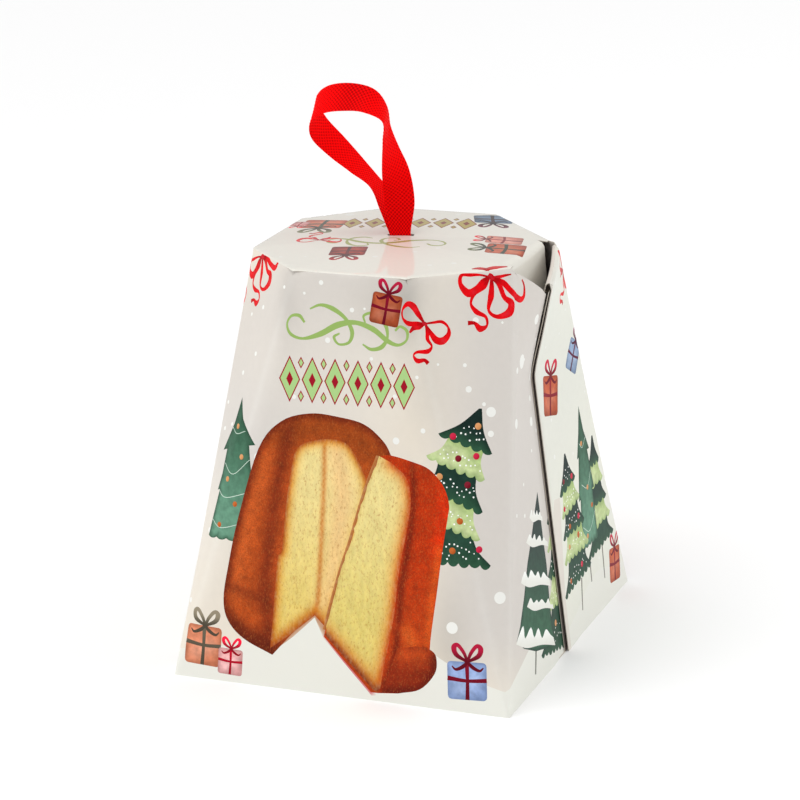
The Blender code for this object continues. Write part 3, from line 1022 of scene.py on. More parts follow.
FRONT_TREE_APEX = (75.6, 161.5)
FRONT_TREE_TIPS = [
    ((52.8, 147.6), (82.8, 138)),
    ((46.4, 135.4), (79.2, 124.4)),
    ((45, 120), (78.6, 107.4)),
    ((46, 104), (77.6, 93)),
    ((48, 80), (84, 79.6)),
]
FRONT_TREE_BALLS = [
    (60.9, 146.5, CHERRY), (74.6, 152.2, PEACH), (74.1, 136.5, CHERRY), (64.2, 135, WINE),
    (69.8, 121.4, WINE), (54.1, 124.9, PEACH), (66.1, 102.2, COPPER), (62.4, 86.1, COPPER),
    (77.3, 87.9, CHERRY),
]
FRONT_FLAKES = [
    (81.5, 159.9, 2.7), (89.6, 62.9, 3.2), (63.5, 44.8, 3.2), (44.2, 148.2, 1.4), (29.3, 141.5, 1.9),
    (-15.1, 221.9, 1.3), (2.7, 208.7, 1.3),
]
FRONT_GIFTS = [
    ((21.6, 210.4), -8, 16.5, 16.5, (180, 84, 50), (140, 20, 48)),
    ((-80, 18.6), -3, 21, 22, (228, 140, 104), (112, 104, 88)),
    ((-63.8, 11.2), -2, 14.4, 14.4, (240, 178, 176), (200, 22, 52)),
    ((72.8, 17.2), 3, 22, 20.5, (152, 176, 224), (136, 16, 44)),
]
PLAIN_TREE_LEFT = [
    (-67.3, 156.4), (-71.6, 142), (-80.4, 126.4), (-76.0, 127.4), (-77.0, 114), (-79.6, 104.6),
    (-77.2, 105.2), (-82.2, 79.5),
]
PLAIN_TREE_RIGHT = [
    (-67.3, 156.4), (-62.4, 145), (-51.3, 131.8), (-55.4, 131.2), (-52.0, 108), (-48.0, 107), (-46, 79),
]
PLAIN_TREE_STRINGS = [
    [(-73.4, 139.8), (-67.0, 136.6), (-59.4, 138.6)], [(-75.6, 119.8), (-66, 114.6), (-54.6, 123.4)],
    [(-78.2, 105.0), (-70, 101.4), (-52, 106.4)], [(-80.2, 88.4), (-72, 84.6), (-56, 89)],
]
PLAIN_TREE_BALLS = [
    (-66.9, 140.6, PEACH), (-60.6, 124.5, PEACH), (-70.6, 111.5, PEACH), (-63, 98.5, COPPER),
    (-73.6, 86.2, COPPER),
]

# What stands on the side beyond the seam, on that panel's own measure
SIDE_PLAIN_LEFT = [(47, 125), (43.6, 110), (38.6, 96), (41, 96.4), (35.6, 72), (38, 72.4), (34, 44)]
SIDE_PLAIN_RIGHT = [(47, 125), (51, 110), (57.6, 97), (54.6, 97), (60.6, 73), (57.6, 73), (60, 44)]
SIDE_PLAIN_STRINGS = [[(43.4, 104), (47.6, 100.4), (53, 105)], [(42, 80), (50, 76), (57.6, 84)],
                      [(38, 56), (48, 51), (60, 60)]]
SIDE_PLAIN_BALLS = [(46.6, 103, PEACH), (50.4, 76, PEACH), (55, 64, COPPER), (44, 49, PEACH)]
NEAR_TREE_APEX = (21.5, 105)
NEAR_TREE_TIPS = [((7.8, 84.4), (33.4, 88.4)), ((7.4, 71.8), (37.1, 76.1)), ((5.2, 60), (41, 61)),
                  ((2.6, 47), (44.5, 46.6)), ((-3.3, 29.5), (45, 33))]
FAR_TREE_APEX = (63.3, 102.5)
FAR_TREE_TIPS = [
    ((54, 86), (71.4, 87)), ((50, 74), (75.4, 74.6)), ((47, 62), (79, 62.5)), ((44.6, 49), (83, 51)),
    ((41, 35.6), (86.4, 38.6)),
]
TREE_FEET = [
    [(43.4, 37), (43.2, 31), (43, 22)], [(65.4, 37), (65.3, 26), (65.1, 16)],
    [(27.4, 30), (25.6, 22), (23.6, 12)],
]
SIDE_GIFTS = [
    ((10.4, 141.8), -14, 20, 22, (200, 92, 56), (156, 24, 50)),
    ((44.5, 155), -32, 15, 18, (150, 172, 204), (110, 30, 70)),
]
BARE_BY_SEAM = [(-12, -4), (-3.6, -4), (-3.4, 30), (8, 84), (-2, 86), (-12, 70)]
FOOT_GIFT = [((84, 18), -8, 18.5, 20, (206, 98, 62), (150, 24, 50))]

# What stands on the wing in front of the seam
WING_TREE_APEX = (8, 96)
WING_TREE_TIPS = [((-13, 76), (24, 75)), ((-19, 62), (28, 59)), ((-26, 48), (28, 42)), ((-34, 33), (28, 24)),
                  ((-48, 13), (16, -1))]
WING_FLAKES = [(-36.4, 175.2, 3.9), (-17.4, 193.3, 2.8), (-22.4, 137.3, 2.6), (-12.9, 160.3, 3.2)]

# What lies on the lid
LID_STROKES = [
    ([(58.6, -43.0), (62, -40.6), (67.6, -40.4)], [1.4, 5.4, 3.8]),
    ([(65.0, -41.4), (69, -35.8), (74.4, -31.8)], [3.6, 5.6, 2.0]),
]
LID_GIFTS = [
    ((-52.5, 21), 187, 24, 19, (222, 134, 104), (112, 112, 88)),
    ((-66, 19.5), 184, 9.5, 10, (236, 176, 172), (190, 30, 60)),
    ((-15.8, -32), 194, 19.5, 17, (176, 72, 52), (140, 20, 44)),
    ((34, 58.5), 202, 21, 17, (122, 142, 164), (96, 26, 60)),
    ((54.5, 19.5), 103, 15, 20, (236, 166, 150), (176, 26, 52)),
    ((61.5, 2), 103, 21, 21, (214, 118, 78), (96, 100, 72)),
]


def draw_front(place, seed):
    """The front panel and what reaches over its creases, measured from the middle of its foot."""
    draw_drift(place, 97, [15, 17, 24, 38, 48, 50, 47, 38, 27, 18, 13])
    draw_chosen_flakes(place, FRONT_FLAKES)
    draw_flakes(place, ((-40, 158), (75, 226)), 9, seed)
    draw_flakes(place, ((48, 60), (88, 215)), 5, seed + 1)
    draw_flakes(place, ((-95, 40), (-45, 220)), 11, seed + 2)
    draw_plain_tree(place, PLAIN_TREE_LEFT, PLAIN_TREE_RIGHT, PLAIN_TREE_STRINGS, PLAIN_TREE_BALLS)
    draw_tiered_tree(place, FRONT_TREE_APEX, FRONT_TREE_TIPS, seed, 2.9, FRONT_TREE_BALLS)
    draw_cake(place)
    draw_scroll(place.inner((-1, 198.5), 1), SCROLL_GREEN)
    draw_gifts(place, FRONT_GIFTS)
    draw_pair_bow(place.inner((43.5, 204.4)))
    draw_fan_bow(place.inner((79.2, 230.2), -2))
    draw_fan_bow(place.inner((-70.5, 232.5), 12, 0.92))
    draw_marks(place.inner((0.5, 170), 1), MARK_GREEN, MARK_RED)


def draw_side(place, whole):
    """A side panel, measured from the middle of its foot. A whole one has trees right across."""
    draw_drift(place, 106, [13, 19, 23, 18, 12, 14, 22, 24, 17, 13])
    draw_flakes(place, ((-80, 105), (80, 215)), 26, 41)
    draw_flakes(place, ((-95, 30), (95, 110)), 14, 42)
    for foot in TREE_FEET:
        place.add(stroke(foot, [1.8, 1.6, 1.4], 3), plain(tone(132, 128, 120)), WASH)
    draw_tiered_tree(place, FAR_TREE_APEX, FAR_TREE_TIPS, 5, 0, [])
    draw_plain_tree(place, SIDE_PLAIN_LEFT, SIDE_PLAIN_RIGHT, SIDE_PLAIN_STRINGS, SIDE_PLAIN_BALLS)
    draw_tiered_tree(place, NEAR_TREE_APEX, NEAR_TREE_TIPS, 9)
    if whole:
        draw_snowy_tree(place.inner((-56, 20), -4), 84, 28)
    draw_gifts(place, SIDE_GIFTS, -18 if whole else 0)
    draw_gifts(place, FOOT_GIFT)
    draw_pair_bow(place.inner((34, 207), -20, 0.9))


def draw_front_wing(place):
    """The part of the right-hand side in front of the seam."""
    draw_drift(place, 106, [13, 19, 24, 20, 14, 14, 20, 22, 17, 13])
    draw_chosen_flakes(place, WING_FLAKES)
    draw_flakes(place, ((-90, 90), (-12, 190)), 16, 77)
    draw_tiered_tree(place, WING_TREE_APEX, WING_TREE_TIPS, 13)
    draw_snowy_tree(place.inner((-55, 20), -20.5), 84, 32)


def draw_lid(place):
    """The lid's picture, which reads from the back."""
    draw_bow_strokes(place, LID_STROKES)
    draw_flakes(place, ((-64, -64), (64, 64)), 30, 99)
    draw_scroll(place.inner((-2, -9.5), 193, 0.94), tone(178, 184, 132))
    draw_marks(place.inner((-6.5, 34), 195, 0.98), tone(190, 176, 118), tone(150, 84, 66))
    draw_gifts(place, LID_GIFTS)
    draw_pair_bow(place.inner((-40, -14), 215, 0.85))


# From fields to meshes

def winding_inside(points, polygon):
    """Which points a polygon winds round."""
    count = np.zeros(len(points), int)
    for first, second in zip(polygon, np.roll(polygon, -1, 0)):
        across, up = (points - first).T
        side = (second[0] - first[0]) * up - across * (second[1] - first[1])
        beyond = points[:, 1] >= second[1]
        count += (up >= 0) & ~beyond & (side > 0)
        count -= (up < 0) & beyond & (side < 0)
    return count != 0


def resample(outline, spacing):
    """Adds places to an outline, so that no step is longer than the spacing."""
    parts = []
    for first, second in zip(outline, np.roll(outline, -1, 0)):
        steps = max(1, math.ceil(np.linalg.norm(second - first) / spacing))
        parts.append(first + (second - first) * np.arange(steps)[:, None] / steps)
    return np.concatenate(parts)


def lattice(low, high, spacing):
    """Staggered places over a box."""
    rows = []
    for number, up in enumerate(np.arange(low[1], high[1], spacing * 0.87)):
        across = np.arange(low[0] + (number % 2) * spacing / 2, high[0], spacing)
        rows.append(np.stack([across, np.full(len(across), up)], 1))
    return np.concatenate(rows)


FIELD_STEP = 1.6


def triangulate(borders, fields, extra):
    """Triangles over all the borders and fields, as (places, triangles)."""
    places, edges = [], []
    total = 0
    for outline, spacing in borders + [(outline, FIELD_STEP) for outline, _, _ in fields]:
        line = resample(outline, spacing)
        places.append(line)
        count = len(line)
        edges += [(total + number, total + (number + 1) % count) for number in range(count)]
        total += count
    places.append(extra)
    verts = [Vector(place) for place in np.concatenate(places)]
    found = delaunay_2d_cdt(verts, edges, [], 0, 0.01)
    return np.array([tuple(place) for place in found[0]]), np.array([tuple(face) for face in found[2]])


def paint_corners(places, triangles, fields, ground):
    """Colour and grain at every corner of every triangle, from the topmost field that it lies in."""
    corners = places[triangles]
    middles = corners.mean(1)
    owner = np.full(len(triangles), -1)
    for number, (outline, _, _) in enumerate(fields):
        low, high = outline.min(0), outline.max(0)
        near = np.nonzero(((middles >= low) & (middles <= high)).all(1))[0]
        owner[near[winding_inside(middles[near], outline)]] = number
    colours = ground(corners.reshape(-1, 2)).reshape(-1, 3, 3)
    grains = np.zeros((len(triangles), 3, 3))
    grains[:, :, 0] = GROUND_WASH
    for number in np.unique(owner[owner >= 0]):
        mine = owner == number
        _, paint, grain = fields[number]
        colours[mine] = paint(corners[mine].reshape(-1, 2)).reshape(-1, 3, 3)
        grains[mine] = grain
    return colours, grains


def to_linear(colour):
    colour = np.clip(colour, 0, 1)
    return np.where(colour <= 0.04045, colour / 12.92, ((colour + 0.055) / 1.055) ** 2.4)


def close_shell(faces, count):
    """The faces of a closed shell whose inner places lie count further on than its outer ones."""
    pairs = np.concatenate([faces[:, [0, 1]], faces[:, [1, 2]], faces[:, [2, 0]]]).astype(np.int64)
    rim = pairs[~np.isin(pairs @ [count, 1], pairs @ [1, count])]
    rim_faces = np.concatenate([
        np.stack([rim[:, 1], rim[:, 0], rim[:, 0] + count], 1),
        np.stack([rim[:, 1], rim[:, 0] + count, rim[:, 1] + count], 1),
    ])
    return np.concatenate([faces, faces[:, ::-1] + count, rim_faces])


def grid_faces(tall, wide):
    """The triangles over rows of places."""
    here = (np.arange(tall - 1)[:, None] * wide + np.arange(wide - 1)).ravel()
    ahead = here + wide
    return np.stack([here, here + 1, ahead + 1, here, ahead + 1, ahead], 1).reshape(-1, 3)


SHARP_ANGLE = math.radians(40)


def make_piece(name, places, faces, material):
    mesh = bpy.data.meshes.new(name)
    mesh.from_pydata((places * MM).tolist(), [], faces.tolist())
    mesh.validate()
    mesh.polygons.foreach_set("use_smooth", [True] * len(faces))
    mesh.materials.append(material)
    piece = bpy.data.objects.new(name, mesh)
    bpy.context.scene.collection.objects.link(piece)
    return piece


def board_shell(name, places, triangles, colours, grains, material):
    """A sheet of board with an inner face and raw edges, from its printed face."""
    used, triangles = np.unique(triangles, return_inverse=True)
    triangles = triangles.reshape(-1, 3)
    places = places[used]
    first, second, third = (places[triangles[:, corner]] for corner in range(3))
    area = np.cross(second - first, third - first)
    normals = np.zeros_like(places)
    for corner in range(3):
        np.add.at(normals, triangles[:, corner], area)
    normals /= np.maximum(np.linalg.norm(normals, axis=1), 1e-12)[:, None]
    faces = close_shell(triangles, len(places))
    piece = make_piece(name, np.concatenate([places, places - normals * BOARD]), faces, material)
    inner = np.tile(INNER_BOARD, (len(triangles), 3, 1))
    rim = np.tile(RAW_EDGE, (len(faces) - 2 * len(triangles), 3, 1))
    colours = np.concatenate([colours, inner, rim])
    grains = np.concatenate([grains, np.zeros_like(inner), np.zeros_like(rim)])
    for layer, values in (("print", to_linear(colours)), ("grain", grains)):
        attribute = piece.data.color_attributes.new(layer, "FLOAT_COLOR", "CORNER")
        flat = np.concatenate([values.reshape(-1, 3), np.ones((len(faces) * 3, 1))], 1)
        attribute.data.foreach_set("color", flat.astype(np.float32).ravel())
    piece.data.set_sharp_from_angle(angle=SHARP_ANGLE)
    claim(piece, "carton")
    return piece


def claim(piece, node):
    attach(piece, "root")
    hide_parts(node)


# Materials

class Recipe:
    """A material and the nodes that colour it."""

    def __init__(self, name):
        self.material = bpy.data.materials.new(name)
        self.material.use_nodes = True
        self.nodes = self.material.node_tree.nodes
        self.links = self.material.node_tree.links
        self.shader = self.nodes["Principled BSDF"]

    def node(self, kind, inputs, **settings):
        """A new node, with its inputs set to numbers or linked to other nodes' outputs."""
        node = self.nodes.new("ShaderNode" + kind)
        for name, value in settings.items():
            setattr(node, name, value)
        for name, value in inputs.items():
            self.put(node, name, value)
        return node

    def put(self, node, name, value):
        if isinstance(value, bpy.types.NodeSocket):
            self.links.new(value, node.inputs[name])
        else:
            node.inputs[name].default_value = value

    def finish(self, **inputs):
        """Sets the shader's inputs, whose names are given with underscores for spaces."""
        for name, value in inputs.items():
            self.put(self.shader, name.replace("_", " "), value)
        return self.material

    def place(self):
        return self.nodes.new("ShaderNodeTexCoord").outputs["Object"]

    def attribute(self, name, output):
        return self.node("Attribute", {}, attribute_name=name).outputs[output]

    def noise(self, place, scale, detail, rough=0.55):
        inputs = {"Vector": place, "Scale": scale, "Detail": detail, "Roughness": rough}
        return self.node("TexNoise", inputs).outputs["Fac"]

    def remap(self, value, low, high, to_low, to_high):
        inputs = {"Value": value, "From Min": low, "From Max": high, "To Min": to_low, "To Max": to_high}
        return self.node("MapRange", inputs).outputs["Result"]

    def combine(self, operation, first, second):
        return self.node("Math", {0: first, 1: second}, operation=operation).outputs[0]

    def grain(self, noise, change, mask):
        """A noise of (place, scale, detail, roughness), remapped by its change and kept to a mask."""
        return self.combine("MULTIPLY", self.remap(self.noise(*noise), *change), mask)


# Linear colours of the specks in crust and crumb
CHAR_TINT = (0.10, 0.016, 0.006, 1)
GLOW_TINT = (0.62, 0.19, 0.045, 1)
PORE_TINT = (0.42, 0.15, 0.02, 1)
CREAM_TINT = (0.86, 0.74, 0.40, 1)


def printed_board(name, gloss):
    """Coated board: the print's colours, a wash in the painted fields and the grain of crust and crumb."""
    recipe = Recipe(name)
    place = recipe.place()
    masks = recipe.node("SeparateColor", {"Color": recipe.attribute("grain", "Color")}).outputs
    painted, crust, crumb = masks["Red"], masks["Green"], masks["Blue"]
    streaks = recipe.node("Mapping", {"Vector": place, "Scale": (1, 1, 0.45)}).outputs["Vector"]
    factor = 1.0
    for noise, change, mask in (
            ((place, 260, 5), (0.3, 0.7, -0.2, 0.2), painted),
            ((place, 170, 5, 0.7), (0.3, 0.7, -0.3, 0.26), crust),
            ((streaks, 260, 4, 0.65), (0.3, 0.7, -0.13, 0.08), crumb)):
        factor = recipe.combine("ADD", recipe.grain(noise, change, mask), factor)
    scaling = {0: recipe.attribute("print", "Color"), "Scale": factor}
    shade = recipe.node("VectorMath", scaling, operation="SCALE").outputs["Vector"]
    for noise, change, mask, tint in (
            ((streaks, 640, 4, 0.75), (0.44, 0.68, 0.0, 0.16), crumb, CREAM_TINT),
            ((place, 1500, 4, 0.8), (0.45, 0.72, 0.0, 0.75), crust, CHAR_TINT),
            ((streaks, 1300, 3, 0.75), (0.52, 0.76, 0.0, 0.42), crust, GLOW_TINT),
            ((streaks, 1000, 4, 0.8), (0.53, 0.68, 0.0, 0.7), crumb, PORE_TINT)):
        blending = {"Factor": recipe.grain(noise, change, mask), "A": shade, "B": tint}
        shade = recipe.node("Mix", blending, data_type="RGBA").outputs["Result"]
    ripple = {"Height": recipe.noise(place, 22, 2), "Strength": 0.25, "Distance": 0.0004}
    return recipe.finish(
        Base_Color=shade,
        Roughness=0.4,
        Specular_IOR_Level=0.06,
        Coat_Weight=gloss,
        Coat_Roughness=0.07,
        Normal=recipe.node("Bump", ripple).outputs["Normal"],
    )


def woven_ribbon():
    """Red ribbon, with painted shade: a darker red in the hollows between its threads, at the loop's top and
    near its foot.
    """
    recipe = Recipe("woven_ribbon")
    fibre = recipe.remap(recipe.noise(recipe.place(), 2600, 2), 0.3, 0.7, -0.12, 0.12)
    ramp = recipe.node("ValToRGB", {"Fac": recipe.combine("ADD", recipe.attribute("weave", "Fac"), fibre)})
    # Painted shade: the hollows' colour is a darker red than the threads'
    hollow, thread = ramp.color_ramp.elements
    hollow.color = (0.42, 0.0005, 0.0008, 1)
    thread.color = (1.0, 0.0015, 0.002, 1)
    thread.position = 0.55
    return recipe.finish(Base_Color=ramp.outputs["Color"], Roughness=0.55, Specular_IOR_Level=0.02)


def plain_material(name, colour, roughness):
    return Recipe(name).finish(Base_Color=(*to_linear(colour), 1), Roughness=roughness)


# The board's pieces

SIDE_BOARD = printed_board("printed_board_sides", 0.05)
LID_BOARD = printed_board("printed_board_lid", 0.8)


def strip_points(first, second, offsets, spacing):
    """Places beside a crease, for its bend."""
    span = second - first
    side = unit(spot(-span[1], span[0]))
    shares = np.linspace(0.02, 0.995, max(2, int(np.linalg.norm(span) / spacing)))
    rows = [first + span * shares[:, None] + side * offset for offset in offsets]
    return np.concatenate(rows)


def keep_apart(candidates, taken, gap):
    """The candidates that aren't closer to a taken place than the gap."""
    cells = {tuple(cell) for cell in np.floor(taken / gap).astype(int)}
    keep = [tuple(cell) not in cells for cell in np.floor(candidates / gap).astype(int)]
    return candidates[keep]


def frame_between(picture, start, end, reach=None):
    """A frame along the way from start to end, with its origin halfway or at a reach from the start."""
    along = end - start
    origin = (start + end) / 2 if reach is None else start + unit(along) * reach
    return Frame(picture, origin, math.degrees(math.atan2(along[1], along[0])))


def side_frames(picture):
    """Where the back and the sides are measured from on the net."""
    rear_foot, front_foot = FLAT["base_rear_right"], FLAT["base_front_right"]
    front_seam, rear_seam = FLAT["seam_foot_front"], FLAT["seam_foot_rear"]
    rear_length = np.linalg.norm(rear_foot - rear_seam)
    return {
        "back": frame_between(picture, rear_foot, FLAT["base_rear_left"]),
        "left": frame_between(picture, FLAT["base_rear_left"], FLAT["base_front_left"]),
        "front_wing": frame_between(picture, front_foot, front_seam, BASE_HALF_Y),
        "rear_wing": frame_between(picture, rear_seam, rear_foot, rear_length - BASE_HALF_Y),
    }


# Soft shades of the dents below the lid: middle, reach across and up, strength
DENTS = [
    (spot(-35, 212), spot(7, 20), 0.07),
    (spot(33, 212), spot(6, 18), 0.11),
    (spot(43, 172), spot(12, 30), 0.04),
    (spot(62, 34), spot(12, 34), 0.08),
    (spot(26, 212), spot(20, 18), 0.08),
]


def ground_tint(points):
    """The sides' pale ground: warm and cool clouds that run softly into each other, with painted shade that
    greys it towards the seam, painted highlights along the creases and painted shade below the dents.
    """
    across, up = points[:, 0], points[:, 1]
    wide_cloud = np.sin(across / 31 + 1.7 * np.sin(up / 47))
    tall_cloud = np.sin(up / 38 - across / 83 + 0.6)
    warm = 0.5 + 0.25 * wide_cloud + 0.25 * tall_cloud
    grey = 0.5 + 0.5 * np.sin(across / 44 + 1.3 * np.sin(up / 29 + 2) + 2.4)
    # Painted shade: the ground greys towards the seam, across the front's right part and the front wing.
    shade_near_seam = 0.85 * smooth((across - 28) / 55) * smooth(up / 50)
    grey = np.maximum(0.75 * grey * smooth((up - 30) / 80), shade_near_seam)
    colour = SKY + (SKY_WARM - SKY) * warm[:, None]
    colour = colour + (SKY_GREY - colour) * grey[:, None]
    behind_seam = 0.7 * smooth((inside_depth(points, NET["rear_wing"][1]) + 2) / 5)
    colour = colour + (SKY_COOL - colour) * behind_seam[:, None]
    # Painted highlight: a pale line along every crease, where light catches the fold.
    for _, _, foot, head, _ in CREASES:
        highlight = 0.1 * np.exp(-(to_segment(points, FLAT[foot], FLAT[head])[0] / 2.4) ** 2)
        colour = colour + (FLAKE - colour) * highlight[:, None]
    for middle, reach, strength in DENTS:
        distance = np.linalg.norm((points - middle) / reach, axis=1)
        colour = colour * (1 - strength * np.exp(-distance ** 2))[:, None]
    return colour


# How far apart the places of the meshes are
BORDER_STEP = 4.0
GROUND_STEP = 4.6
CAKE_STEP = 1.75
BACK_CAKE_STEP = 2.8
WING_STEP = 2.6
HEM_STEP = 0.9
LID_STEP = 3.0
ROLL_STEP = 1.1
SLIT_STEP = 1.0

# How far places inside a sheet stay from the finer ones and from its edges
GROUND_GAP = 3.0
EDGE_GAP = 0.4
LID_EDGE_GAP = 0.3


def deepest(points):
    """How deep each flat point lies in the net."""
    return np.max([inside_depth(points, flat) for _, flat in NET.values()], 0)


def build_sides():
    picture = Picture(SIDE_INK_DEPTH)
    frames = side_frames(picture)
    rear_wing = frames["rear_wing"]
    draw_side(frames["left"], True)
    draw_side(rear_wing, False)
    rear_wing.add(BARE_BY_SEAM, plain(SKY))
    draw_front_wing(frames["front_wing"])
    draw_front(frames["back"], 25)
    draw_front(Frame(picture), 1)
    fine = []
    for _, _, foot, head, reach in CREASES:
        offsets = [side * reach * share for side in (-1, 1) for share in (0.12, 0.3, 0.5, 0.75, 1.0)]
        fine.append(strip_points(FLAT[foot], FLAT[head], offsets, BORDER_STEP))
    for _, first, second in RIMS:
        fine.append(strip_points(FLAT[first], FLAT[second], RIM_OFFSETS, BORDER_STEP))
    fine.append(rear_wing.at(lattice((-10, 194), (36, 226), HEM_STEP)))
    extra = [
        lattice((-70, 2), (62, 155), CAKE_STEP),
        frames["back"].at(lattice((-70, 2), (62, 155), BACK_CAKE_STEP)),
        frames["front_wing"].at(lattice((-60, 140), (-8, 230), WING_STEP)),
        rear_wing.at(lattice((-9, 140), (60, 230), WING_STEP)),
    ]
    corners = np.array(list(FLAT.values()))
    ground = lattice(corners.min(0), corners.max(0), GROUND_STEP)
    extra = np.concatenate([keep_apart(ground, np.concatenate(extra), GROUND_GAP)] + extra + fine)
    borders = [(flat, BORDER_STEP) for _, flat in NET.values()]
    places, triangles = triangulate(borders, picture.fields, extra[deepest(extra) > EDGE_GAP])
    triangles = triangles[deepest(places[triangles].mean(1)) > 0]
    colours, grains = paint_corners(places, triangles, picture.fields, ground_tint)
    board_shell("carton_sides", fold(places), triangles, colours, grains, SIDE_BOARD)


def lid_border():
    """The outline of the lid with its tuck flap."""
    outline = LID_OUTLINE[:, :2]
    first, second = outline[3:5]
    shoulders = []
    for side in (-SHOULDER_Y, SHOULDER_Y):
        shoulders.append(first + (second - first) * (side - first[1]) / (second[1] - first[1]))
    half = np.array([
        (ROLL_START, SHOULDER_Y), (ROLL_START + 1, SHOULDER_Y - 0.5), (ROLL_START + 24, SHOULDER_Y - 1.5),
        (FLAP_END, 20),
    ])
    flap = [shoulders[:1], half * (1, -1), half[::-1], shoulders[1:]]
    return np.concatenate([outline[:4], *flap, outline[4:]])


def build_lid():
    picture = Picture(LID_INK_DEPTH)
    draw_lid(Frame(picture))
    border = lid_border()
    slit = Frame(picture, SLIT_PLACE[:2], SLIT_TURN).at(rounded_box(SLIT_HALF_LENGTH, SLIT_HALF_WIDTH, 1.2))
    extra = [lattice((-78, -74), (FLAP_END, 74), LID_STEP)]
    for _, first, second in RIMS:
        extra.append(strip_points(CORNERS[first][:2], CORNERS[second][:2], RIM_OFFSETS, LID_STEP))
    extra.append(lattice((ROLL_START - 2, -SHOULDER_Y), (ROLL_START + 13, SHOULDER_Y), ROLL_STEP))
    extra = np.concatenate(extra)
    extra = extra[winding_inside(extra, border)]
    extra = extra[distance_to(extra, ring(border)) > LID_EDGE_GAP]
    places, triangles = triangulate([(border, LID_STEP), (slit, SLIT_STEP)], picture.fields, extra)
    middles = places[triangles].mean(1)
    triangles = triangles[winding_inside(middles, border) & ~winding_inside(middles, slit)]
    colours, grains = paint_corners(places, triangles, picture.fields, plain(LID_GROUND))
    board_shell("carton_lid", shape_lid(places), triangles, colours, grains, LID_BOARD)


def sheet_from_rows(name, rows, colour):
    """A sheet of board from rows of places, as a shell in one colour."""
    rows = np.asarray(rows)
    faces = grid_faces(*rows.shape[:2])
    colours = np.tile(colour, (len(faces), 3, 1))
    board_shell(name, rows.reshape(-1, 3), faces, colours, np.zeros((len(faces), 3, 3)), SIDE_BOARD)


def rear_wing_points(across, height, inward):
    """Places inside the rear wing's surface, at shares of the way from its crease to its seam."""
    crease = wing_crease(height, "rear")
    out = wing_out(across, height, crease[:, 0], "rear")
    return np.stack([out - inward, crease[:, 1] + (REAR_SEAM_Y - crease[:, 1]) * across, height], 1)


def build_hem():
    """The rear wing's top edge, turned over and down inside."""
    turns = np.linspace(0, math.pi / 2, 8)
    rows = []
    for across in np.linspace(0.02, 1, 40):
        roll_middle = rear_top(across) - HEM_RADIUS
        below = np.linspace(roll_middle - 1, rear_top(across) - HEM_DEPTH, 6)
        height = np.concatenate([roll_middle + HEM_RADIUS * np.cos(turns), below])
        inward = np.concatenate([HEM_RADIUS * (1 + np.sin(turns)), np.full(len(below), 2 * HEM_RADIUS)])
        rows.append(rear_wing_points(across, height, inward))
    sheet_from_rows("carton_hem", rows, INNER_BOARD)


def build_seam_lining():
    """The second layer of board behind the rear wing's free edge, coloured dark as painted shade in the
    seam's gap.
    """
    across = spot(1.025, 0.99, 0.95, 0.88)
    heights = np.linspace(1.0, REAR_TIP_HEIGHT - 5, 60)
    rows = [rear_wing_points(across, np.full(len(across), height), LINING_GAP) for height in heights]
    sheet_from_rows("carton_seam_lining", rows, SEAM_SHADE)


def build_base():
    across = np.linspace(BASE_INSET - BASE_HALF_X, BASE_HALF_X - BASE_INSET, 12)
    along = np.linspace(BASE_INSET - BASE_HALF_Y, BASE_HALF_Y - BASE_INSET, 12)
    rows = [[spot(x, y, BASE_RISE) for x in across] for y in along[::-1]]
    sheet_from_rows("carton_base", rows, SNOW)


# The ribbon

RIBBON_WIDTH = 16.5
RIBBON_FOOT_WIDTH = 11.2
RIBBON_THICK = 0.7
RIBBON_NARROWING = 20.0
THREAD = 1.15
THREAD_DEPTH = 0.13
SELVAGE = 0.8
RIBBON_GRID = 0.36

# Painted shade: the deeper red at the loop's top, that far along the ribbon, and near its foot
LOOP_TOP = 103.0
LOOP_SHADE = 0.3
LOOP_SHADE_REACH = 11.0
FOOT_SHADE = 0.14
FOOT_SHADE_RISE = 50.0

# The ribbon's route from the slit: the middle of the ribbon, and the way its width lies
RIBBON_ROUTE = [
    ((0.0, -1.0, -8.0), (0.97, 0.26, 0.00)),
    ((0.2, -1.0, 0.0), (0.97, 0.26, 0.00)),
    ((0.4, -1.3, 11.2), (0.94, 0.35, 0.03)),
    ((0.8, -3.0, 23.3), (0.89, 0.45, 0.08)),
    ((0.7, -6.5, 35.1), (0.69, 0.70, 0.18)),
    ((-0.6, -9.8, 47.0), (0.26, 0.93, 0.24)),
    ((-1.1, -13.3, 59.1), (-0.08, 0.96, 0.28)),
    ((-0.5, -17.2, 70.8), (-0.19, 0.92, 0.35)),
    ((-8.5, -20.6, 78.3), (0.06, 0.76, 0.64)),
    ((-21.4, -19.7, 79.4), (0.00, 0.59, 0.81)),
    ((-34.4, -17.3, 76.7), (-0.10, 0.62, 0.78)),
    ((-43.6, -12.3, 69.4), (-0.07, 0.74, 0.67)),
    ((-44.0, -5.1, 58.3), (0.20, 0.79, 0.58)),
    ((-36.4, -0.1, 47.6), (0.22, 0.86, 0.47)),
    ((-26.1, 2.5, 37.2), (0.11, 0.97, 0.24)),
    ((-15.4, 4.3, 26.6), (0.05, 1.00, -0.02)),
    ((-7.1, 3.8, 13.2), (0.44, 0.90, -0.01)),
    ((-0.6, 1.1, 0.0), (0.97, 0.26, 0.00)),
    ((-0.4, 1.0, -8.0), (0.97, 0.26, 0.00)),
]


def ribbon_route(spacing):
    """Middles, ways across and lengths along the ribbon, at an even spacing."""
    stations = np.array([middle + across for middle, across in RIBBON_ROUTE])
    fine = curve_through(stations, 40)
    lengths = np.concatenate([[0], np.cumsum(np.linalg.norm(np.diff(fine[:, :3], axis=0), axis=1))])
    wanted = np.arange(0, lengths[-1], spacing)
    even = np.stack([np.interp(wanted, lengths, fine[:, column]) for column in range(6)], 1)
    return even[:, :3] + SLIT_PLACE, even[:, 3:], wanted


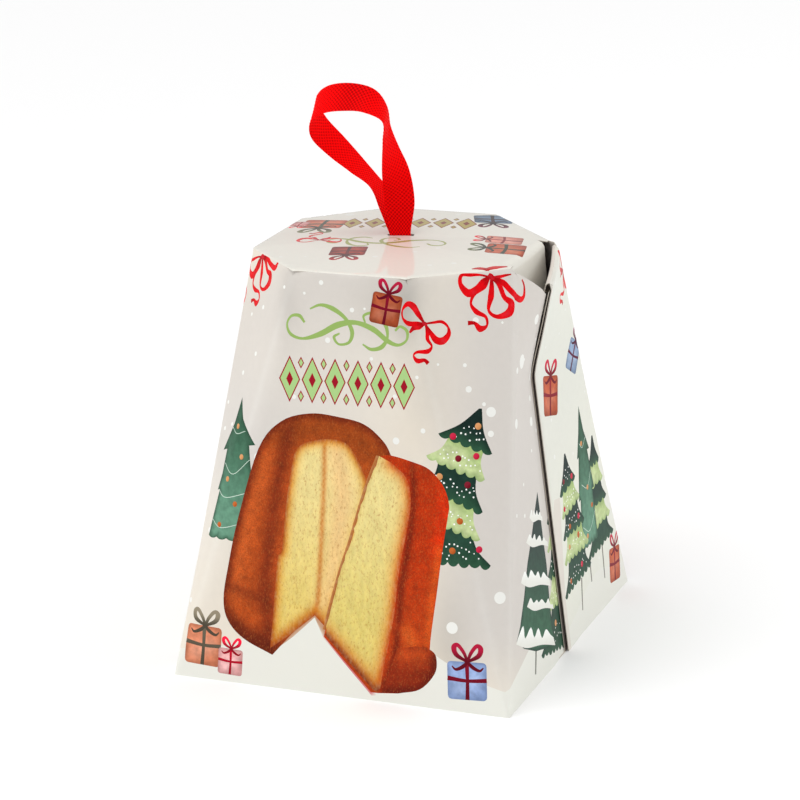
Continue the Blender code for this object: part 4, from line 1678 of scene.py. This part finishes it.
def build_ribbon():
    middles, ways, lengths = ribbon_route(RIBBON_GRID)
    along = np.gradient(middles, axis=0)
    along /= np.linalg.norm(along, axis=1)[:, None]
    across = ways - along * (ways * along).sum(1)[:, None]
    across /= np.linalg.norm(across, axis=1)[:, None]
    face = np.cross(across, along)
    rise = middles[:, 2] - SLIT_PLACE[2]
    width = RIBBON_FOOT_WIDTH + (RIBBON_WIDTH - RIBBON_FOOT_WIDTH) * smooth(rise / RIBBON_NARROWING)
    shade = LOOP_SHADE * np.exp(-((lengths - LOOP_TOP) / LOOP_SHADE_REACH) ** 2)
    shade += FOOT_SHADE * (1 - smooth(rise / FOOT_SHADE_RISE))
    shares = np.linspace(-1, 1, int(RIBBON_WIDTH / RIBBON_GRID))
    spread = shares * RIBBON_WIDTH / 2
    bumps = np.outer(np.sin(lengths / THREAD * math.pi), np.sin(spread / THREAD * math.pi))
    selvage = np.clip((RIBBON_WIDTH / 2 - np.abs(spread)) / SELVAGE, 0, 1) ** 0.5
    line = middles[:, None, :] + across[:, None, :] * np.outer(width / 2, shares)[:, :, None]
    sides, weave_shades = [], []
    for side in (1, -1):
        lift = side * selvage * (RIBBON_THICK / 2 + THREAD_DEPTH * (side * bumps - 1))
        sides.append((line + face[:, None, :] * lift[:, :, None]).reshape(-1, 3))
        # Painted shade: lower values at the weave's hollows, the loop's top and the foot darken the red
        weave_shades.append(0.5 + 0.5 * side * bumps - shade[:, None])
    faces = close_shell(grid_faces(*bumps.shape), bumps.size)
    piece = make_piece("woven_ribbon", np.concatenate(sides), faces, woven_ribbon())
    weave = piece.data.attributes.new("weave", "FLOAT", "POINT")
    weave.data.foreach_set("value", np.concatenate(weave_shades).astype(np.float32).ravel())
    claim(piece, "ribbon")


# The studio, in metres

FLOOR_SIZE = 12
FLOOR_GREY = (246, 246, 246)
FLOOR_ROUGHNESS = 0.8
SKY_STRENGTH = 0.56
OVERHEAD_STRENGTH = 1.65
OVERHEAD_AIM = (0.22, 0.3, -1)
OVERHEAD_SPREAD = math.radians(70)
LAMPS = [("key", 10, (1.8, 0.5, 0.8), 1.0), ("fill", 7, (-1.6, -1.2, 0.7), 1.2)]
LAMP_AIM = (0, 0, 0.12)


def light_up(name, kind, energy, place, aim):
    """A light at a place, turned to its aim."""
    light = bpy.data.lights.new(name, kind)
    light.energy = energy
    holder = bpy.data.objects.new(name, light)
    holder.location = place
    holder.rotation_euler = (Vector(aim) - Vector(place)).to_track_quat("-Z", "Y").to_euler()
    bpy.context.scene.collection.objects.link(holder)
    return light


def build_studio():
    bpy.ops.mesh.primitive_plane_add(size=FLOOR_SIZE, location=(0, 0, 0))
    floor = bpy.context.active_object
    floor.name = "studio_floor"
    floor.data.materials.append(plain_material("studio_floor", tone(*FLOOR_GREY), FLOOR_ROUGHNESS))
    world = bpy.data.worlds.new("studio")
    bpy.context.scene.world = world
    world.use_nodes = True
    world.node_tree.nodes["Background"].inputs["Color"].default_value = (1, 1, 1, 1)
    world.node_tree.nodes["Background"].inputs["Strength"].default_value = SKY_STRENGTH
    light_up("overhead", "SUN", OVERHEAD_STRENGTH, (0, 0, 0), OVERHEAD_AIM).angle = OVERHEAD_SPREAD
    for name, strength, place, size in LAMPS:
        light_up(name, "AREA", strength, place, LAMP_AIM).size = size


# The camera, fitted to the carton's corners in the photograph
CAMERA_PLACE = (0.57775, -1.43967, 0.62606)
CAMERA_RIGHT = (0.93067131, 0.36476266, -0.02826852)
CAMERA_DOWN = (0.08522288, -0.29128438, -0.95283287)
CAMERA_AHEAD = (-0.35579203, 0.88436509, -0.30217614)
CAMERA_LENS = 132.53
SENSOR_WIDTH = 36.0


def build_camera():
    camera = bpy.data.objects.new("camera", bpy.data.cameras.new("camera"))
    right, down, ahead = Vector(CAMERA_RIGHT), Vector(CAMERA_DOWN), Vector(CAMERA_AHEAD)
    turn = Matrix((right, -down, -ahead)).transposed().to_4x4()
    camera.matrix_world = Matrix.Translation(CAMERA_PLACE) @ turn
    camera.data.sensor_width = SENSOR_WIDTH
    camera.data.lens = CAMERA_LENS
    bpy.context.scene.collection.objects.link(camera)
    bpy.context.scene.camera = camera


build_camera()
bpy.context.scene.view_settings.view_transform = "Standard"
build_studio()
build_sides()
build_lid()
build_hem()
build_seam_lining()
build_base()
build_ribbon()
